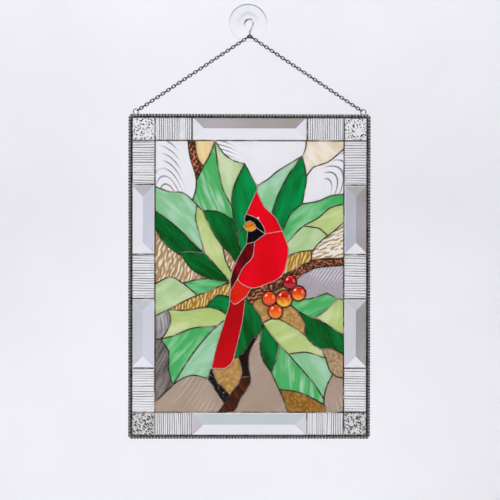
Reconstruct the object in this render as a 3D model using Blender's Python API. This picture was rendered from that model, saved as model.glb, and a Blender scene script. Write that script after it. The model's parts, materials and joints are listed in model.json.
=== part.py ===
"""A stained glass panel: a red bird on holly in copper foil and solder, inside a border of clear bevels.

The panel hangs by a fine chain from a wire hook on a clear suction cup.
Metres, +Z up, the panel faces -Y. The origin is the middle of the cup's flat face, which is pressed on a window.
"""

import math

import bmesh
import bpy
from mathutils import Vector
from mathutils.geometry import delaunay_2d_cdt, intersect_point_line

MM = 0.001

# Glass and the solder that holds it
GLASS_THICKNESS = 3.0 * MM
CLEARANCE = 0.3 * MM
WEB_WIDTH = 0.6 * MM
BEAD_WIDTH = 2.4 * MM
BEAD_HEIGHT = 1.0 * MM

# Border pieces, stock bevels of 1 x 3 and 1 x 5 inches between reeded pieces
BEVEL_WIDTH = 25.4 * MM
BEVEL_SHORT = 76.2 * MM
BEVEL_LONG = 127.0 * MM
BEVEL_RISE = 2.5 * MM
REEDED_SIDE = 48.1 * MM
REEDED_TOP = 39.9 * MM

# Berries are cast gems with a domed face
BERRY_RISE = 3.5 * MM
BERRY_SIDES = 12
BERRY_RINGS = 2

# Twisted wire round the edge, with a loop at each top corner
RIM_WIRE = 2.9 * MM
RIM_SIDES = 6
LOOP_RADIUS = 2.9 * MM
LOOP_WIRE = 1.1 * MM
LOOP_SEGMENTS = 10
LOOP_SIDES = 5
LOOP_INSET = 7.0 * MM

# Chain links. Their length follows from the run of the chain.
LINK_COUNT = 42
LINK_WIRE = 0.9 * MM
LINK_WIDTH = 3.8 * MM
LINK_BITE = 0.15 * MM
LINK_SIDES = 3
LINK_SPACING = 1.3 * MM

# Hook: an eye round the cup's neck, then a J that turns away from the window
HOOK_WIRE = 1.3 * MM
HOOK_SIDES = 6
EYE_HALF_WIDTH = 5.0 * MM
EYE_HEIGHT = 12.5 * MM
EYE_SHIFT = 0.8 * MM
EYE_STEPS = 14
J_RADIUS = 2.4 * MM
J_DROP = 4.5 * MM
J_TIP = 5.5 * MM
HOOK_SHIFT = 2.0 * MM

# Suction cup, turned about the axis towards the window
CUP_RADIUS = 21.5 * MM
CUP_RIM = 0.8 * MM
CUP_SHOULDER_RADIUS = 8.0 * MM
CUP_DEPTH = 5.0 * MM
NECK_RADIUS = 2.3 * MM
NECK_LENGTH = 3.6 * MM
KNOB_RADIUS = 5.2 * MM
KNOB_LENGTH = 4.5 * MM
CUP_SIDES = 24

# Where the panel hangs under the hook
CHAIN_DROP = 86.5 * MM

# Sizes worked out from those above
SEAM_GAP = WEB_WIDTH + 2 * CLEARANCE
PICTURE_WIDTH = BEVEL_LONG + 2 * REEDED_TOP + 3 * SEAM_GAP
PICTURE_HEIGHT = 2 * BEVEL_SHORT + 3 * REEDED_SIDE + 5 * SEAM_GAP
BORDER_WIDTH = BEVEL_WIDTH + SEAM_GAP
HALF_WIDTH = PICTURE_WIDTH / 2 + BORDER_WIDTH
HALF_HEIGHT = PICTURE_HEIGHT / 2 + BORDER_WIDTH
LIP_LEVEL = GLASS_THICKNESS / 2 + CLEARANCE
RIDGE_LEVEL = LIP_LEVEL + BEAD_HEIGHT
NECK_START = CUP_DEPTH
HOOK_PLANE = -(NECK_START + NECK_LENGTH / 2)
PANEL_PLANE = HOOK_PLANE - J_RADIUS
EYE_TOP = NECK_RADIUS + 2 * CLEARANCE + HOOK_WIRE / 2
EYE_BOTTOM = EYE_TOP - EYE_HEIGHT
J_BOTTOM = EYE_BOTTOM - J_DROP - J_RADIUS
RIM_CENTRE = CLEARANCE + RIM_WIRE / 2
PANEL_TOP = J_BOTTOM - CHAIN_DROP
PANEL_CENTRE = Vector((HOOK_SHIFT, PANEL_PLANE, PANEL_TOP - RIM_WIRE - CLEARANCE - HALF_HEIGHT))

# The picture is drawn on a sketch sheet and enlarged to the opening. Sketch squares run right and down.
# The first three are in squares too.
CURVE_TOLERANCE = 0.5
JOIN_REACH = 2.35
CORNER_REACH = 0.72
SPLINE_STEPS = 12
INSET_STEPS = 8
SHORTEST_SIDE = 0.05 * MM
POINT_MERGE = 1e-6

# Lead lines of the sketch. Each is a smooth curve through its points, and its ends are carried onto the
# nearest line.
SKETCH_LINES = {
    "branch_top_left": [(33, 0), (35, 16), (41, 36), (41, 48), (38, 59)],
    "branch_top_right": [(40, 0), (42, 15), (48, 26)],
    "top_leaf_left": [(60, 0), (55, 14), (45, 32), (41, 39)],
    "top_leaf_vein": [(60, 0), (62, 18), (67, 44), (76, 67)],
    "top_leaf_right": [(60, 0), (69, 13), (79, 20), (90, 23)],
    "crest_leaf_left": [(90, 23), (81, 41), (77, 60), (81, 88), (87, 112)],
    "crest_leaf_right": [(90, 23), (96, 34), (102, 45), (102, 50)],
    "upper_leaf_top": [(102, 45), (114, 38), (122, 31), (134, 24), (148, 15)],
    "clear_top_right": [(148, 15), (151, 8), (152, 0)],
    "upper_leaf_vein": [(148, 15), (136, 31), (125, 51), (117, 73)],
    "upper_leaf_right": [(148, 15), (152, 36), (151, 48), (148, 63)],
    "cream_lower": [(152, 36), (160, 26), (174, 21), (190, 8)],
    "right_leaf_top": [(148, 63), (164, 60), (176, 55), (190, 53)],
    "right_leaf_left": [(148, 63), (136, 73), (128, 90)],
    "right_leaf_vein": [(190, 63), (176, 67), (164, 77), (149, 85), (132, 102)],
    "right_leaf_side_vein": [(149, 85), (164, 87), (174, 95)],
    "right_leaf_lower": [(190, 81), (180, 90), (168, 99), (159, 109), (156, 119)],
    "right_leaf_bottom": [(159, 109), (144, 111), (134, 115)],
    "branch_top_edge": [(190, 117), (165, 118), (150, 123), (126, 136)],
    "branch_bottom_edge": [(190, 124), (162, 127), (150, 133), (135, 142)],
    "twig_bottom": [(135, 142), (123, 148), (112, 154), (101, 159), (96, 165)],
    "low_right_top": [(144, 155), (154, 158), (165, 155), (173, 152), (183, 157), (190, 159)],
    "low_right_vein": [(184, 157), (173, 168), (161, 175)],
    "low_right_bottom": [(129, 159), (142, 169), (154, 175), (166, 179), (190, 194)],
    "shadow_leaf_left": [(144, 171), (150, 181), (151, 194)],
    "big_leaf_top": [(108, 182), (121, 177), (136, 184), (151, 194), (158, 202), (168, 209), (172, 217)],
    "shadow_leaf_bottom": [(167, 208), (178, 207), (190, 213)],
    "pebble_bottom": [(172, 217), (176, 229), (182, 235), (190, 237)],
    "big_leaf_right": [(179, 233), (173, 245), (170, 260), (173, 271)],
    "big_leaf_vein": [(108, 182), (120, 197), (142, 221), (160, 242), (170, 258)],
    "big_leaf_side_vein": [(134, 213), (152, 211), (172, 217)],
    "dark_leaf_left": [(108, 182), (106, 204), (109, 219), (117, 231)],
    "dark_leaf_right": [(125, 203), (122, 218), (117, 231)],
    "big_leaf_left": [(117, 231), (126, 250), (131, 262), (134, 271)],
    "big_leaf_bottom": [(125, 248), (145, 251), (161, 258), (171, 263)],
    "tail_leaf_right": [(91, 156), (98, 165), (105, 174), (108, 182)],
    "tail_leaf_bottom": [(107, 191), (98, 198), (90, 211), (79, 218)],
    "tail_left": [(76, 150), (75, 163), (69, 182), (61, 209), (57, 227)],
    "tail_bottom": [(57, 227), (70, 227), (76, 223), (79, 218)],
    "tail_right": [(91, 156), (88, 180), (82, 206), (79, 218)],
    "rump_bottom": [(76, 159), (81, 163), (91, 156), (97, 147)],
    "body_back": [(129, 92), (134, 108), (132, 124), (126, 136), (112, 143), (98, 147), (86, 142), (83, 136)],
    "body_wing": [(83, 136), (89, 126), (98, 116), (100, 101)],
    "mask_bottom": [(92, 103), (100, 101), (111, 93)],
    "neck": [(111, 93), (129, 92)],
    "wing_left": [(92, 103), (82, 120), (76, 137), (76, 150)],
    "wing_right": [(83, 138), (76, 150)],
    "head_left": [(102, 50), (95, 65), (90, 77), (91, 82)],
    "head_right": [(102, 50), (110, 66), (121, 77), (129, 92)],
    "mask_top": [(91, 73), (103, 78), (109, 86), (111, 93)],
    "beak_top": [(89, 86), (91, 82), (95, 80), (99, 82), (102, 87)],
    "beak_bottom": [(102, 87), (98, 90), (93, 90), (89, 86)],
    "beak_tip": [(89, 86), (83, 92)],
    "mask_split": [(102, 87), (111, 93)],
    "mask_left": [(93, 90), (93, 96), (92, 103)],
    "left_leaf_top": [(0, 46), (15, 51), (30, 53), (48, 70)],
    "left_leaf_edge": [(42, 64), (41, 79), (46, 99), (50, 112)],
    "left_leaf_vein": [(0, 70), (18, 83), (50, 112)],
    "left_leaf_bottom": [(0, 87), (10, 103), (27, 116), (38, 129), (56, 138), (76, 141)],
    "left_leaf_split": [(22, 112), (34, 111), (50, 112)],
    "left_leaf_lower": [(50, 112), (63, 126), (76, 141)],
    "middle_leaf_vein": [(48, 70), (57, 89), (68, 106)],
    "sliver_left": [(68, 106), (71, 119), (77, 132)],
    "sliver_right": [(68, 106), (75, 112), (81, 122)],
    "middle_leaf_top": [(48, 70), (64, 71), (79, 80)],
    "pale_leaf_top": [(0, 143), (15, 136), (28, 142), (43, 155)],
    "green_leaf_top": [(28, 142), (40, 139), (54, 137)],
    "gold_top": [(0, 175), (17, 167), (36, 157), (76, 141)],
    "gold_bottom": [(13, 169), (31, 169), (51, 166), (63, 168), (71, 173)],
    "bud_leaf_top": [(51, 166), (59, 157), (66, 154), (76, 156)],
    "low_left_top_vein": [(6, 198), (20, 194), (38, 187), (62, 184)],
    "low_left_tip": [(13, 169), (16, 179), (12, 190), (6, 198)],
    "oval_bottom": [(0, 198), (6, 198)],
    "low_left_vein": [(70, 178), (53, 194), (35, 217), (18, 244)],
    "low_left_edge": [(6, 198), (14, 211), (14, 228), (18, 244)],
    "low_left_bottom": [(0, 261), (18, 244), (28, 237), (40, 234), (53, 237)],
    "bark_top": [(57, 227), (53, 237)],
    "bark_left": [(53, 237), (63, 252), (70, 262)],
    "bark_right": [(57, 227), (63, 240), (75, 254)],
    "trunk_left": [(85, 216), (87, 236), (76, 253), (64, 271)],
    "trunk_right": [(103, 193), (94, 216), (96, 241), (86, 257), (80, 271)],
    "trunk_split": [(87, 236), (96, 235)],
}
# The sheet ends where its outermost lines end
SKETCH_WIDTH = max(square[0] for line in SKETCH_LINES.values() for square in line)
SKETCH_HEIGHT = max(square[1] for line in SKETCH_LINES.values() for square in line)

# Round berries: middle and radius in sketch squares
BERRIES = {
    "berry_top": ((135.7, 141.2), 7.1),
    "berry_right": ((144.2, 152.2), 7.7),
    "berry_middle": ((129.8, 157.7), 8.7),
    "berry_left": ((115.0, 157.6), 7.5),
    "berry_bottom": ((121.2, 170.4), 7.6),
}

# Straight joints from a berry to another, or to a point of the sketch. The other berries touch.
BERRY_JOINTS = [
    ("berry_top", (126, 136)),
    ("berry_top", "berry_middle"),
]

# Colours of glass and metal: red, green, blue, alpha
CLEAR = (0.85, 0.87, 0.92, 0.4)
CREAM = (0.9, 0.78, 0.55, 1.0)
AMBER = (0.55, 0.35, 0.12, 1.0)
BROWN = (0.12, 0.04, 0.02, 1.0)
GREEN = (0.03, 0.3, 0.08, 1.0)
PALE_GREEN = (0.3, 0.6, 0.32, 1.0)
RED = (0.7, 0.01, 0.015, 1.0)
ORANGE = (0.8, 0.15, 0.01, 1.0)
SOLDER = (0.08, 0.07, 0.06, 1.0)
DARK_WIRE = (0.05, 0.05, 0.055, 1.0)
BRIGHT_WIRE = (0.5, 0.5, 0.5, 1.0)

# Plates of picture glass. Each is one node. A plate of several panes is fused under the solder between them,
# and each pane is named by a point of the sketch inside it.
PLATES = {
    "clear_top_left": (CLEAR, [(20, 25)]),
    "clear_top": (CLEAR, [(115, 15)]),
    "clear_right_upper": (CLEAR, [(170, 40)]),
    "clear_right": (CLEAR, [(170, 140)]),
    "clear_left": (CLEAR, [(7, 183), (7, 225)]),
    "clear_bottom_left": (CLEAR, [(35, 255)]),
    "clear_bottom": (CLEAR, [(106, 245)]),
    "clear_bottom_right": (CLEAR, [(181, 255)]),
    "cream_top_right": (CREAM, [(165, 10)]),
    "cream_rippled": (CREAM, [(180, 104)]),
    "amber_left": (AMBER, [(12, 120)]),
    "amber_low_left": (AMBER, [(74, 238), (61, 243)]),
    "branch_top": (BROWN, [(38, 12), (49, 8)]),
    "branch_across": (BROWN, [(165, 122), (110, 149), (121, 152), (145, 117)]),
    "branch_low": (BROWN, [(91, 225), (84, 250)]),
    "leaf_top_left": (PALE_GREEN, [(55, 45), (74, 40)]),
    "leaves_behind_crest": (GREEN, [(88, 55), (88, 97), (118, 50), (138, 50)]),
    "leaf_right": (PALE_GREEN, [(150, 72), (175, 78), (150, 97)]),
    "leaf_left": (GREEN, [(22, 68), (20, 95), (50, 125)]),
    "leaf_middle": (GREEN, [(55, 100), (68, 88), (73, 115)]),
    "leaf_pale_left": (PALE_GREEN, [(12, 155), (45, 146), (45, 160)]),
    "leaf_low_left": (PALE_GREEN, [(65, 161), (40, 177), (35, 200), (50, 215)]),
    "leaf_low_right": (PALE_GREEN, [(165, 162), (182, 172), (165, 195), (180, 222), (138, 178)]),
    "leaf_big": (PALE_GREEN, [(115, 205), (140, 200), (155, 225), (138, 235), (150, 264)]),
    "leaf_under_tail": (GREEN, [(97, 185), (107, 172)]),
    "bird_head": (RED, [(105, 65), (105, 83), (98, 96), (95, 85)]),
    "bird_body": (RED, [(115, 115)]),
    "bird_wing": (RED, [(85, 122)]),
    "bird_tail": (RED, [(80, 150), (78, 195)]),
}
BERRY_COLOURS = {
    "berry_top": RED,
    "berry_right": ORANGE,
    "berry_middle": ORANGE,
    "berry_left": ORANGE,
    "berry_bottom": ORANGE,
}


def clear_scene():
    """Remove every object of the open file."""
    for thing in list(bpy.data.objects):
        bpy.data.objects.remove(thing)


def make_material(name, colour, roughness, metallic):
    """Return a Principled material."""
    material = bpy.data.materials.new(name)
    material.use_nodes = True
    shader = material.node_tree.nodes["Principled BSDF"]
    shader.inputs["Base Color"].default_value = colour
    shader.inputs["Alpha"].default_value = colour[3]
    shader.inputs["Roughness"].default_value = roughness
    shader.inputs["Metallic"].default_value = metallic
    return material


def make_object(name, shape, place, material):
    """Turn a bmesh into a named object at a place, and free the bmesh."""
    mesh = bpy.data.meshes.new(name)
    shape.to_mesh(mesh)
    shape.free()
    mesh.materials.append(material)
    thing = bpy.data.objects.new(name, mesh)
    thing.location = place
    bpy.context.scene.collection.objects.link(thing)
    return thing


class Shell:
    """A closed mesh built face by face. Corners at the same place are shared."""

    def __init__(self):
        self.shape = bmesh.new()
        self.corners = {}

    def corner(self, point, level):
        """Return the corner at a point of the panel's plane and a level along Y."""
        place = (point[0], level, point[1])
        key = tuple(round(value / POINT_MERGE) for value in place)
        if key not in self.corners:
            self.corners[key] = self.shape.verts.new(place)
        return self.corners[key]

    def face(self, corners):
        """Add a face with the given corners."""
        self.shape.faces.new(corners)

    def wall(self, loop, low, high):
        """Stand a wall on a closed loop, between two levels."""
        for here, there in zip(loop, loop[1:] + loop[:1]):
            self.face([
                self.corner(here, low),
                self.corner(there, low),
                self.corner(there, high),
                self.corner(here, high),
            ])

    def sheet(self, loops, level, holes=(), hole_level=0.0):
        """Fill the area inside the loops and outside the holes, each of the two at its own level."""
        corners = [self.corner(point, level) for loop in loops for point in loop]
        corners += [self.corner(point, hole_level) for hole in holes for point in hole]
        for triangle in fill_area(loops, holes):
            self.face([corners[index] for index in triangle])

    def finish(self):
        """Point all faces outwards and return the mesh."""
        bmesh.ops.recalc_face_normals(self.shape, faces=self.shape.faces)
        return self.shape


def inside(point, corners):
    """Say whether a point is inside a loop of corners."""
    found = False
    for here, there in zip(corners, corners[1:] + corners[:1]):
        if (here[1] > point[1]) != (there[1] > point[1]):
            share = (point[1] - here[1]) / (there[1] - here[1])
            if point[0] < here[0] + share * (there[0] - here[0]):
                found = not found
    return found


def fill_area(loops, holes=()):
    """Triangulate the area left of the loops and right of the holes. Corners are numbered in order."""
    points = []
    borders = []
    for loop, is_hole in [(loop, False) for loop in loops] + [(hole, True) for hole in holes]:
        numbers = list(range(len(points), len(points) + len(loop)))
        points += loop
        for start, stop in zip(numbers, numbers[1:] + numbers[:1]):
            borders.append((stop, start) if is_hole else (start, stop))
    _, _, faces, origins, _, _ = delaunay_2d_cdt(points, borders, [], 0, POINT_MERGE / 10)
    triangles = [[origins[corner][0] for corner in face] for face in faces]
    beside = {}
    for number, triangle in enumerate(triangles):
        for pair in zip(triangle, triangle[1:] + triangle[:1]):
            beside[pair] = number
    found = {beside[pair] for pair in borders}
    growing = list(found)
    while growing:
        triangle = triangles[growing.pop()]
        for start, stop in zip(triangle, triangle[1:] + triangle[:1]):
            other = beside.get((stop, start))
            if (start, stop) not in borders and other is not None and other not in found:
                found.add(other)
                growing.append(other)
    return [triangles[number] for number in sorted(found)]


def smooth_curve(points):
    """Return a fine Catmull-Rom curve through the points."""
    ends = [2 * points[0] - points[1]] + points + [2 * points[-1] - points[-2]]
    curve = [points[0]]
    for before, start, stop, after in zip(ends, ends[1:], ends[2:], ends[3:]):
        for step in range(1, SPLINE_STEPS + 1):
            t = step / SPLINE_STEPS
            curve.append(0.5 * (
                2 * start
                + t * (stop - before)
                + t * t * (2 * before - 5 * start + 4 * stop - after)
                + t * t * t * (3 * start - before - 3 * stop + after)
            ))
    return curve


def thin_out(curve, tolerance):
    """Keep only the points that hold the curve within the tolerance."""
    start, stop = curve[0], curve[-1]
    worst, index = 0, 0
    for number, point in enumerate(curve[1:-1], 1):
        foot, share = intersect_point_line(point, start, stop)
        away = (point - foot.to_2d()).length
        if away > worst:
            worst, index = away, number
    if worst <= tolerance:
        return [start, stop]
    return thin_out(curve[: index + 1], tolerance)[:-1] + thin_out(curve[index:], tolerance)


def on_panel(square):
    """Return the place on the panel, from its middle, of a point of the sketch."""
    across = (square[0] / SKETCH_WIDTH - 0.5) * PICTURE_WIDTH
    up = (0.5 - square[1] / SKETCH_HEIGHT) * PICTURE_HEIGHT
    return Vector((across, up))


def circle(centre, radius, sides):
    """Return the corners of a polygon round a centre, anticlockwise."""
    turns = [2 * math.pi * (index + 0.5) / sides for index in range(sides)]
    return [centre + radius * Vector((math.cos(turn), math.sin(turn))) for turn in turns]


def side_stations():
    """Return the heights of the seams along a side, from the picture's bottom corner to its top."""
    stations = [-PICTURE_HEIGHT / 2]
    for piece in (REEDED_SIDE, BEVEL_SHORT, REEDED_SIDE, BEVEL_SHORT):
        stations.append(stations[-1] + piece + SEAM_GAP)
    return stations + [PICTURE_HEIGHT / 2]


def top_stations():
    """Return the places of the seams along the top, from left to right."""
    half_bevel = (BEVEL_LONG + SEAM_GAP) / 2
    return [-PICTURE_WIDTH / 2, -half_bevel, half_bevel, PICTURE_WIDTH / 2]


def border_lines():
    """Return the straight seams of the border and the panel's edge."""
    lines = []
    for side in (-1, 1):
        across = side * PICTURE_WIDTH / 2
        up = side * PICTURE_HEIGHT / 2
        lines.append([Vector((across, -HALF_HEIGHT)), Vector((across, HALF_HEIGHT))])
        lines.append([Vector((-HALF_WIDTH, up)), Vector((HALF_WIDTH, up))])
        lines.append([Vector((side * HALF_WIDTH, -HALF_HEIGHT)), Vector((side * HALF_WIDTH, HALF_HEIGHT))])
        lines.append([Vector((-HALF_WIDTH, side * HALF_HEIGHT)), Vector((HALF_WIDTH, side * HALF_HEIGHT))])
        for station in side_stations()[1:-1]:
            lines.append([Vector((across, station)), Vector((side * HALF_WIDTH, station))])
        for station in top_stations()[1:-1]:
            lines.append([Vector((station, up)), Vector((station, side * HALF_HEIGHT))])
    return lines


def nearest_on_line(place, line):
    """Return the distance to a line, the nearest place on it and the number of the side it is on."""
    best = None
    for index, (start, stop) in enumerate(zip(line, line[1:])):
        foot, share = intersect_point_line(place, start, stop)
        foot = start if share <= 0 else stop if share >= 1 else foot.to_2d()
        for corner in (start, stop):
            if (corner - foot).length < CORNER_REACH:
                foot = corner
        away = (foot - place).length
        if best is None or away < best[0]:
            best = (away, foot.copy(), index)
    return best


def passes(line, place):
    """Say whether a line has a point at a place."""
    return any((point - place).length < POINT_MERGE for point in line)


def carry_ends(lines):
    """Move each end of a line, and all ends that share its place, onto the nearest other line in reach."""
    for place in [line[end].copy() for line in lines for end in (0, -1)]:
        if any(passes(line[1:-1], place) for line in lines):
            continue
        others = [line for line in lines if not passes(line, place)]
        if len(others) == len(lines):
            continue
        away, target = min(((nearest_on_line(place, line), line) for line in others), key=lambda found: found[0][0])
        distance, foot, index = away
        if distance > JOIN_REACH:
            continue
        for line in lines:
            for end in (0, -1):
                if (line[end] - place).length < POINT_MERGE:
                    line[end] = foot.copy()
        if not passes(target, foot):
            target.insert(index + 1, foot.copy())


def berry_joints():
    """Return the straight joints between berries and to their neighbours."""
    lines = []
    for start, stop in BERRY_JOINTS:
        there = BERRIES[stop][0] if stop in BERRIES else stop
        lines.append([Vector(BERRIES[start][0]), Vector(there)])
    return lines


class Drawing:
    """The full-size drawing of the panel: its lines cut into cells, and the cells into panes."""

    def __init__(self):
        self.rings = {
            name: [on_panel(corner) for corner in circle(Vector(square), radius, BERRY_SIDES)]
            for name, (square, radius) in BERRIES.items()
        }
        self.marks = []
        edges = []
        ring_edges = set()
        lines = []
        for squares in SKETCH_LINES.values():
            curve = smooth_curve([Vector(square) for square in squares])
            lines.append(thin_out(curve, CURVE_TOLERANCE))
        lines += berry_joints()
        carry_ends(lines)
        lines = [[on_panel(square) for square in line] for line in lines]
        for line in lines + border_lines():
            marks = [self.mark(point) for point in line]
            edges += zip(marks, marks[1:])
        for ring in self.rings.values():
            marks = [self.mark(point) for point in ring]
            ring_edges.update(range(len(edges), len(edges) + BERRY_SIDES))
            edges += zip(marks, marks[1:] + marks[:1])
        output = delaunay_2d_cdt(self.marks, edges, [], 0, POINT_MERGE)
        self.points, kept_edges, self.triangles = output[0], output[1], output[2]
        self.barriers = set()
        for edge, origins in zip(kept_edges, output[4]):
            middle = (self.points[edge[0]] + self.points[edge[1]]) / 2
            covered = any(inside(middle, ring) for ring in self.rings.values())
            if origins and (any(origin in ring_edges for origin in origins) or not covered):
                self.barriers.add(frozenset(edge))
        self.neighbours = {}
        for number, triangle in enumerate(self.triangles):
            for pair in zip(triangle, triangle[1:] + triangle[:1]):
                self.neighbours.setdefault(frozenset(pair), []).append(number)

    def mark(self, point):
        """Return the number of the mark at a point, and add one where there is none."""
        for number, other in enumerate(self.marks):
            if (other - point).length < 5 * POINT_MERGE:
                return number
        self.marks.append(point)
        return len(self.marks) - 1

    def cell_at(self, place):
        """Return the triangles of the cell that holds a place."""
        start = None
        for number, triangle in enumerate(self.triangles):
            if inside(place, [self.points[index] for index in triangle]):
                start = number
        if start is None:
            raise ValueError("no cell at " + str(tuple(place)))
        cell = {start}
        border = [start]
        while border:
            triangle = self.triangles[border.pop()]
            for pair in zip(triangle, triangle[1:] + triangle[:1]):
                edge = frozenset(pair)
                if edge in self.barriers:
                    continue
                for other in self.neighbours[edge]:
                    if other not in cell:
                        cell.add(other)
                        border.append(other)
        return cell

    def outlines(self, cell):
        """Return the closed outlines of a set of triangles, the inside on the left."""
        following = {}
        directed = set()
        for number in cell:
            triangle = self.triangles[number]
            directed.update(zip(triangle, triangle[1:] + triangle[:1]))
        for start, stop in directed:
            if (stop, start) not in directed:
                following.setdefault(start, []).append(stop)
        loops = []
        while following:
            start = next(iter(sorted(following)))
            loop = [start]
            here, there = start, following[start][0]
            while True:
                following[here].remove(there)
                if not following[here]:
                    del following[here]
                if there == start:
                    break
                loop.append(there)
                choices = following[there]
                here, there = there, min(choices, key=lambda choice: self.turn(here, there, choice))
            loops.append([self.points[index].copy() for index in loop])
        return loops

    def turn(self, before, here, after):
        """Return the clockwise angle at a point from the way back to the way on."""
        back = self.points[before] - self.points[here]
        ahead = self.points[after] - self.points[here]
        angle = math.atan2(back[1], back[0]) - math.atan2(ahead[1], ahead[0])
        return angle % (2 * math.pi)


def inset(loop, distance):
    """Move every side of a loop inwards by a distance, in small steps, dropping the sides that close up."""
    for _ in range(INSET_STEPS):
        loop = step_in(loop, distance / INSET_STEPS)
    return loop


def step_in(loop, distance):
    """Move every side of a loop inwards by a small distance."""
    sides = []
    for here, there in zip(loop, loop[1:] + loop[:1]):
        along = (there - here).normalized()
        inwards = Vector((-along[1], along[0]))
        sides.append((here + distance * inwards, along))
    while len(sides) > 2:
        corners = [meet(sides[index - 1], sides[index]) for index in range(len(sides))]
        lengths = [
            (corners[(index + 1) % len(sides)] - corners[index]).dot(sides[index][1])
            for index in range(len(sides))
        ]
        shortest = min(range(len(sides)), key=lambda index: lengths[index])
        if lengths[shortest] > SHORTEST_SIDE:
            return corners
        sides.pop(shortest)
    return []


def meet(first, second):
    """Return the corner where two sides meet, or a middle place where they are in line."""
    (start, along), (other, onward) = first, second
    cross = along[0] * onward[1] - along[1] * onward[0]
    if abs(cross) < 1e-3:
        return other.copy()
    gap = other - start
    return start + along * ((gap[0] * onward[1] - gap[1] * onward[0]) / cross)


class Pane:
    """One cell of the drawing that holds glass, with its outlines and its window inside the solder."""

    def __init__(self, drawing, place):
        self.cell = drawing.cell_at(place)
        self.outlines = drawing.outlines(self.cell)
        self.windows = inset_all(self.outlines, BEAD_WIDTH / 2)


class Plate:
    """One piece of glass, cut from one pane or fused from several that meet."""

    def __init__(self, drawing, name, colour, places):
        self.name = name
        self.colour = colour
        self.panes = [Pane(drawing, place) for place in places]
        self.cell = set().union(*(pane.cell for pane in self.panes))
        if len(self.cell) != sum(len(pane.cell) for pane in self.panes):
            raise ValueError(name + " names a pane twice")
        self.outlines = drawing.outlines(self.cell)
        self.web = inset_all(self.outlines, WEB_WIDTH / 2)
        self.edge = inset_all(self.outlines, SEAM_GAP / 2)


def inset_all(loops, distance):
    """Return the loops moved inwards, without those that close up."""
    moved = [inset(loop, distance) for loop in loops]
    return [loop for loop in moved if loop]


def picture_plates(drawing):
    """Return the plates of the picture, berries apart."""
    return [
        Plate(drawing, name, colour, [on_panel(square) for square in squares])
        for name, (colour, squares) in PLATES.items()
    ]


def berry_plates(drawing):
    """Return the plates of the berries."""
    return [
        Plate(drawing, name, BERRY_COLOURS[name], [on_panel(square)])
        for name, (square, radius) in BERRIES.items()
    ]


def border_plates(drawing):
    """Return the plates of the border: corners, reeded pieces and bevels."""
    half_border = BORDER_WIDTH / 2
    plates = []
    sides = side_stations()
    tops = top_stations()
    for across, side in ((-1, "left"), (1, "right")):
        x = across * (PICTURE_WIDTH / 2 + half_border)
        for up, end in ((-1, "bottom"), (1, "top")):
            z = up * (PICTURE_HEIGHT / 2 + half_border)
            plates.append(Plate(drawing, f"corner_{end}_{side}", CLEAR, [Vector((x, z))]))
            reeded_x = across * (tops[2] + tops[3]) / 2
            plates.append(Plate(drawing, f"reeded_{end}_{side}", CLEAR, [Vector((reeded_x, z))]))
        names = ("reeded_{}_lower", "bevel_{}_lower", "reeded_{}_middle", "bevel_{}_upper", "reeded_{}_upper")
        for name, low, high in zip(names, sides, sides[1:]):
            plates.append(Plate(drawing, name.format(side), CLEAR, [Vector((x, (low + high) / 2))]))
    for up, end in ((-1, "bottom"), (1, "top")):
        z = up * (PICTURE_HEIGHT / 2 + half_border)
        plates.append(Plate(drawing, f"bevel_{end}", CLEAR, [Vector((0, z))]))
    return plates


def build_plate(plate, material):
    """Cut one flat plate of glass."""
    shell = Shell()
    front, back = -GLASS_THICKNESS / 2, GLASS_THICKNESS / 2
    shell.sheet(plate.edge, front)
    shell.sheet(plate.edge, back)
    for loop in plate.edge:
        shell.wall(loop, front, back)
    return make_object(plate.name, shell.finish(), PANEL_CENTRE, material)


def build_bevel(plate, material):
    """Cut one bevelled plate: four facets rise from the solder to a ridge, or to a point on a square."""
    shell = Shell()
    front, back = -GLASS_THICKNESS / 2, GLASS_THICKNESS / 2
    foot = inset_all(plate.outlines, BEAD_WIDTH / 2 + CLEARANCE)[0]
    xs = sorted(point[0] for point in foot)
    zs = sorted(point[1] for point in foot)
    low, high = Vector((xs[0], zs[0])), Vector((xs[-1], zs[-1]))
    reach = min(high - low) / 2
    first, last = low + Vector((reach, reach)), high - Vector((reach, reach))
    corners = [(low[0], low[1]), (high[0], low[1]), (high[0], high[1]), (low[0], high[1])]
    base = [shell.corner(corner, front) for corner in corners]
    peak_low = shell.corner(first, front - BEVEL_RISE)
    peak_high = shell.corner(last, front - BEVEL_RISE)
    upright = high[1] - low[1] > high[0] - low[0]
    ends = (peak_low, peak_low, peak_high, peak_high) if upright else (peak_low, peak_high, peak_high, peak_low)
    for index in range(4):
        following = (index + 1) % 4
        facet = [base[index], base[following], ends[following], ends[index]]
        shell.face(list(dict.fromkeys(facet)))
    shell.sheet(plate.edge, front, [[Vector(corner) for corner in corners]], front)
    shell.sheet(plate.edge, back)
    shell.wall(plate.edge[0], front, back)
    return make_object(plate.name, shell.finish(), PANEL_CENTRE, material)


def build_berry(plate, centre, material):
    """Cast one berry: a flat back and a dome that rises inside its solder ring."""
    shell = Shell()
    front, back = -GLASS_THICKNESS / 2, GLASS_THICKNESS / 2
    foot = inset_all(plate.outlines, BEAD_WIDTH / 2 + CLEARANCE)[0]
    rings = []
    for step in range(BERRY_RINGS):
        turn = math.pi / 2 * step / BERRY_RINGS
        level = front - BERRY_RISE * math.sin(turn)
        rings.append([shell.corner(centre + (point - centre) * math.cos(turn), level) for point in foot])
    count = len(foot)
    for lower, upper in zip(rings, rings[1:]):
        for index in range(count):
            following = (index + 1) % count
            shell.face([lower[index], lower[following], upper[following], upper[index]])
    top = shell.corner(centre, front - BERRY_RISE)
    for index in range(count):
        shell.face([rings[-1][index], rings[-1][(index + 1) % count], top])
    shell.sheet(plate.edge, front, [foot], front)
    shell.sheet(plate.edge, back)
    shell.wall(plate.edge[0], front, back)
    return make_object(plate.name, shell.finish(), PANEL_CENTRE, material)


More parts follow.
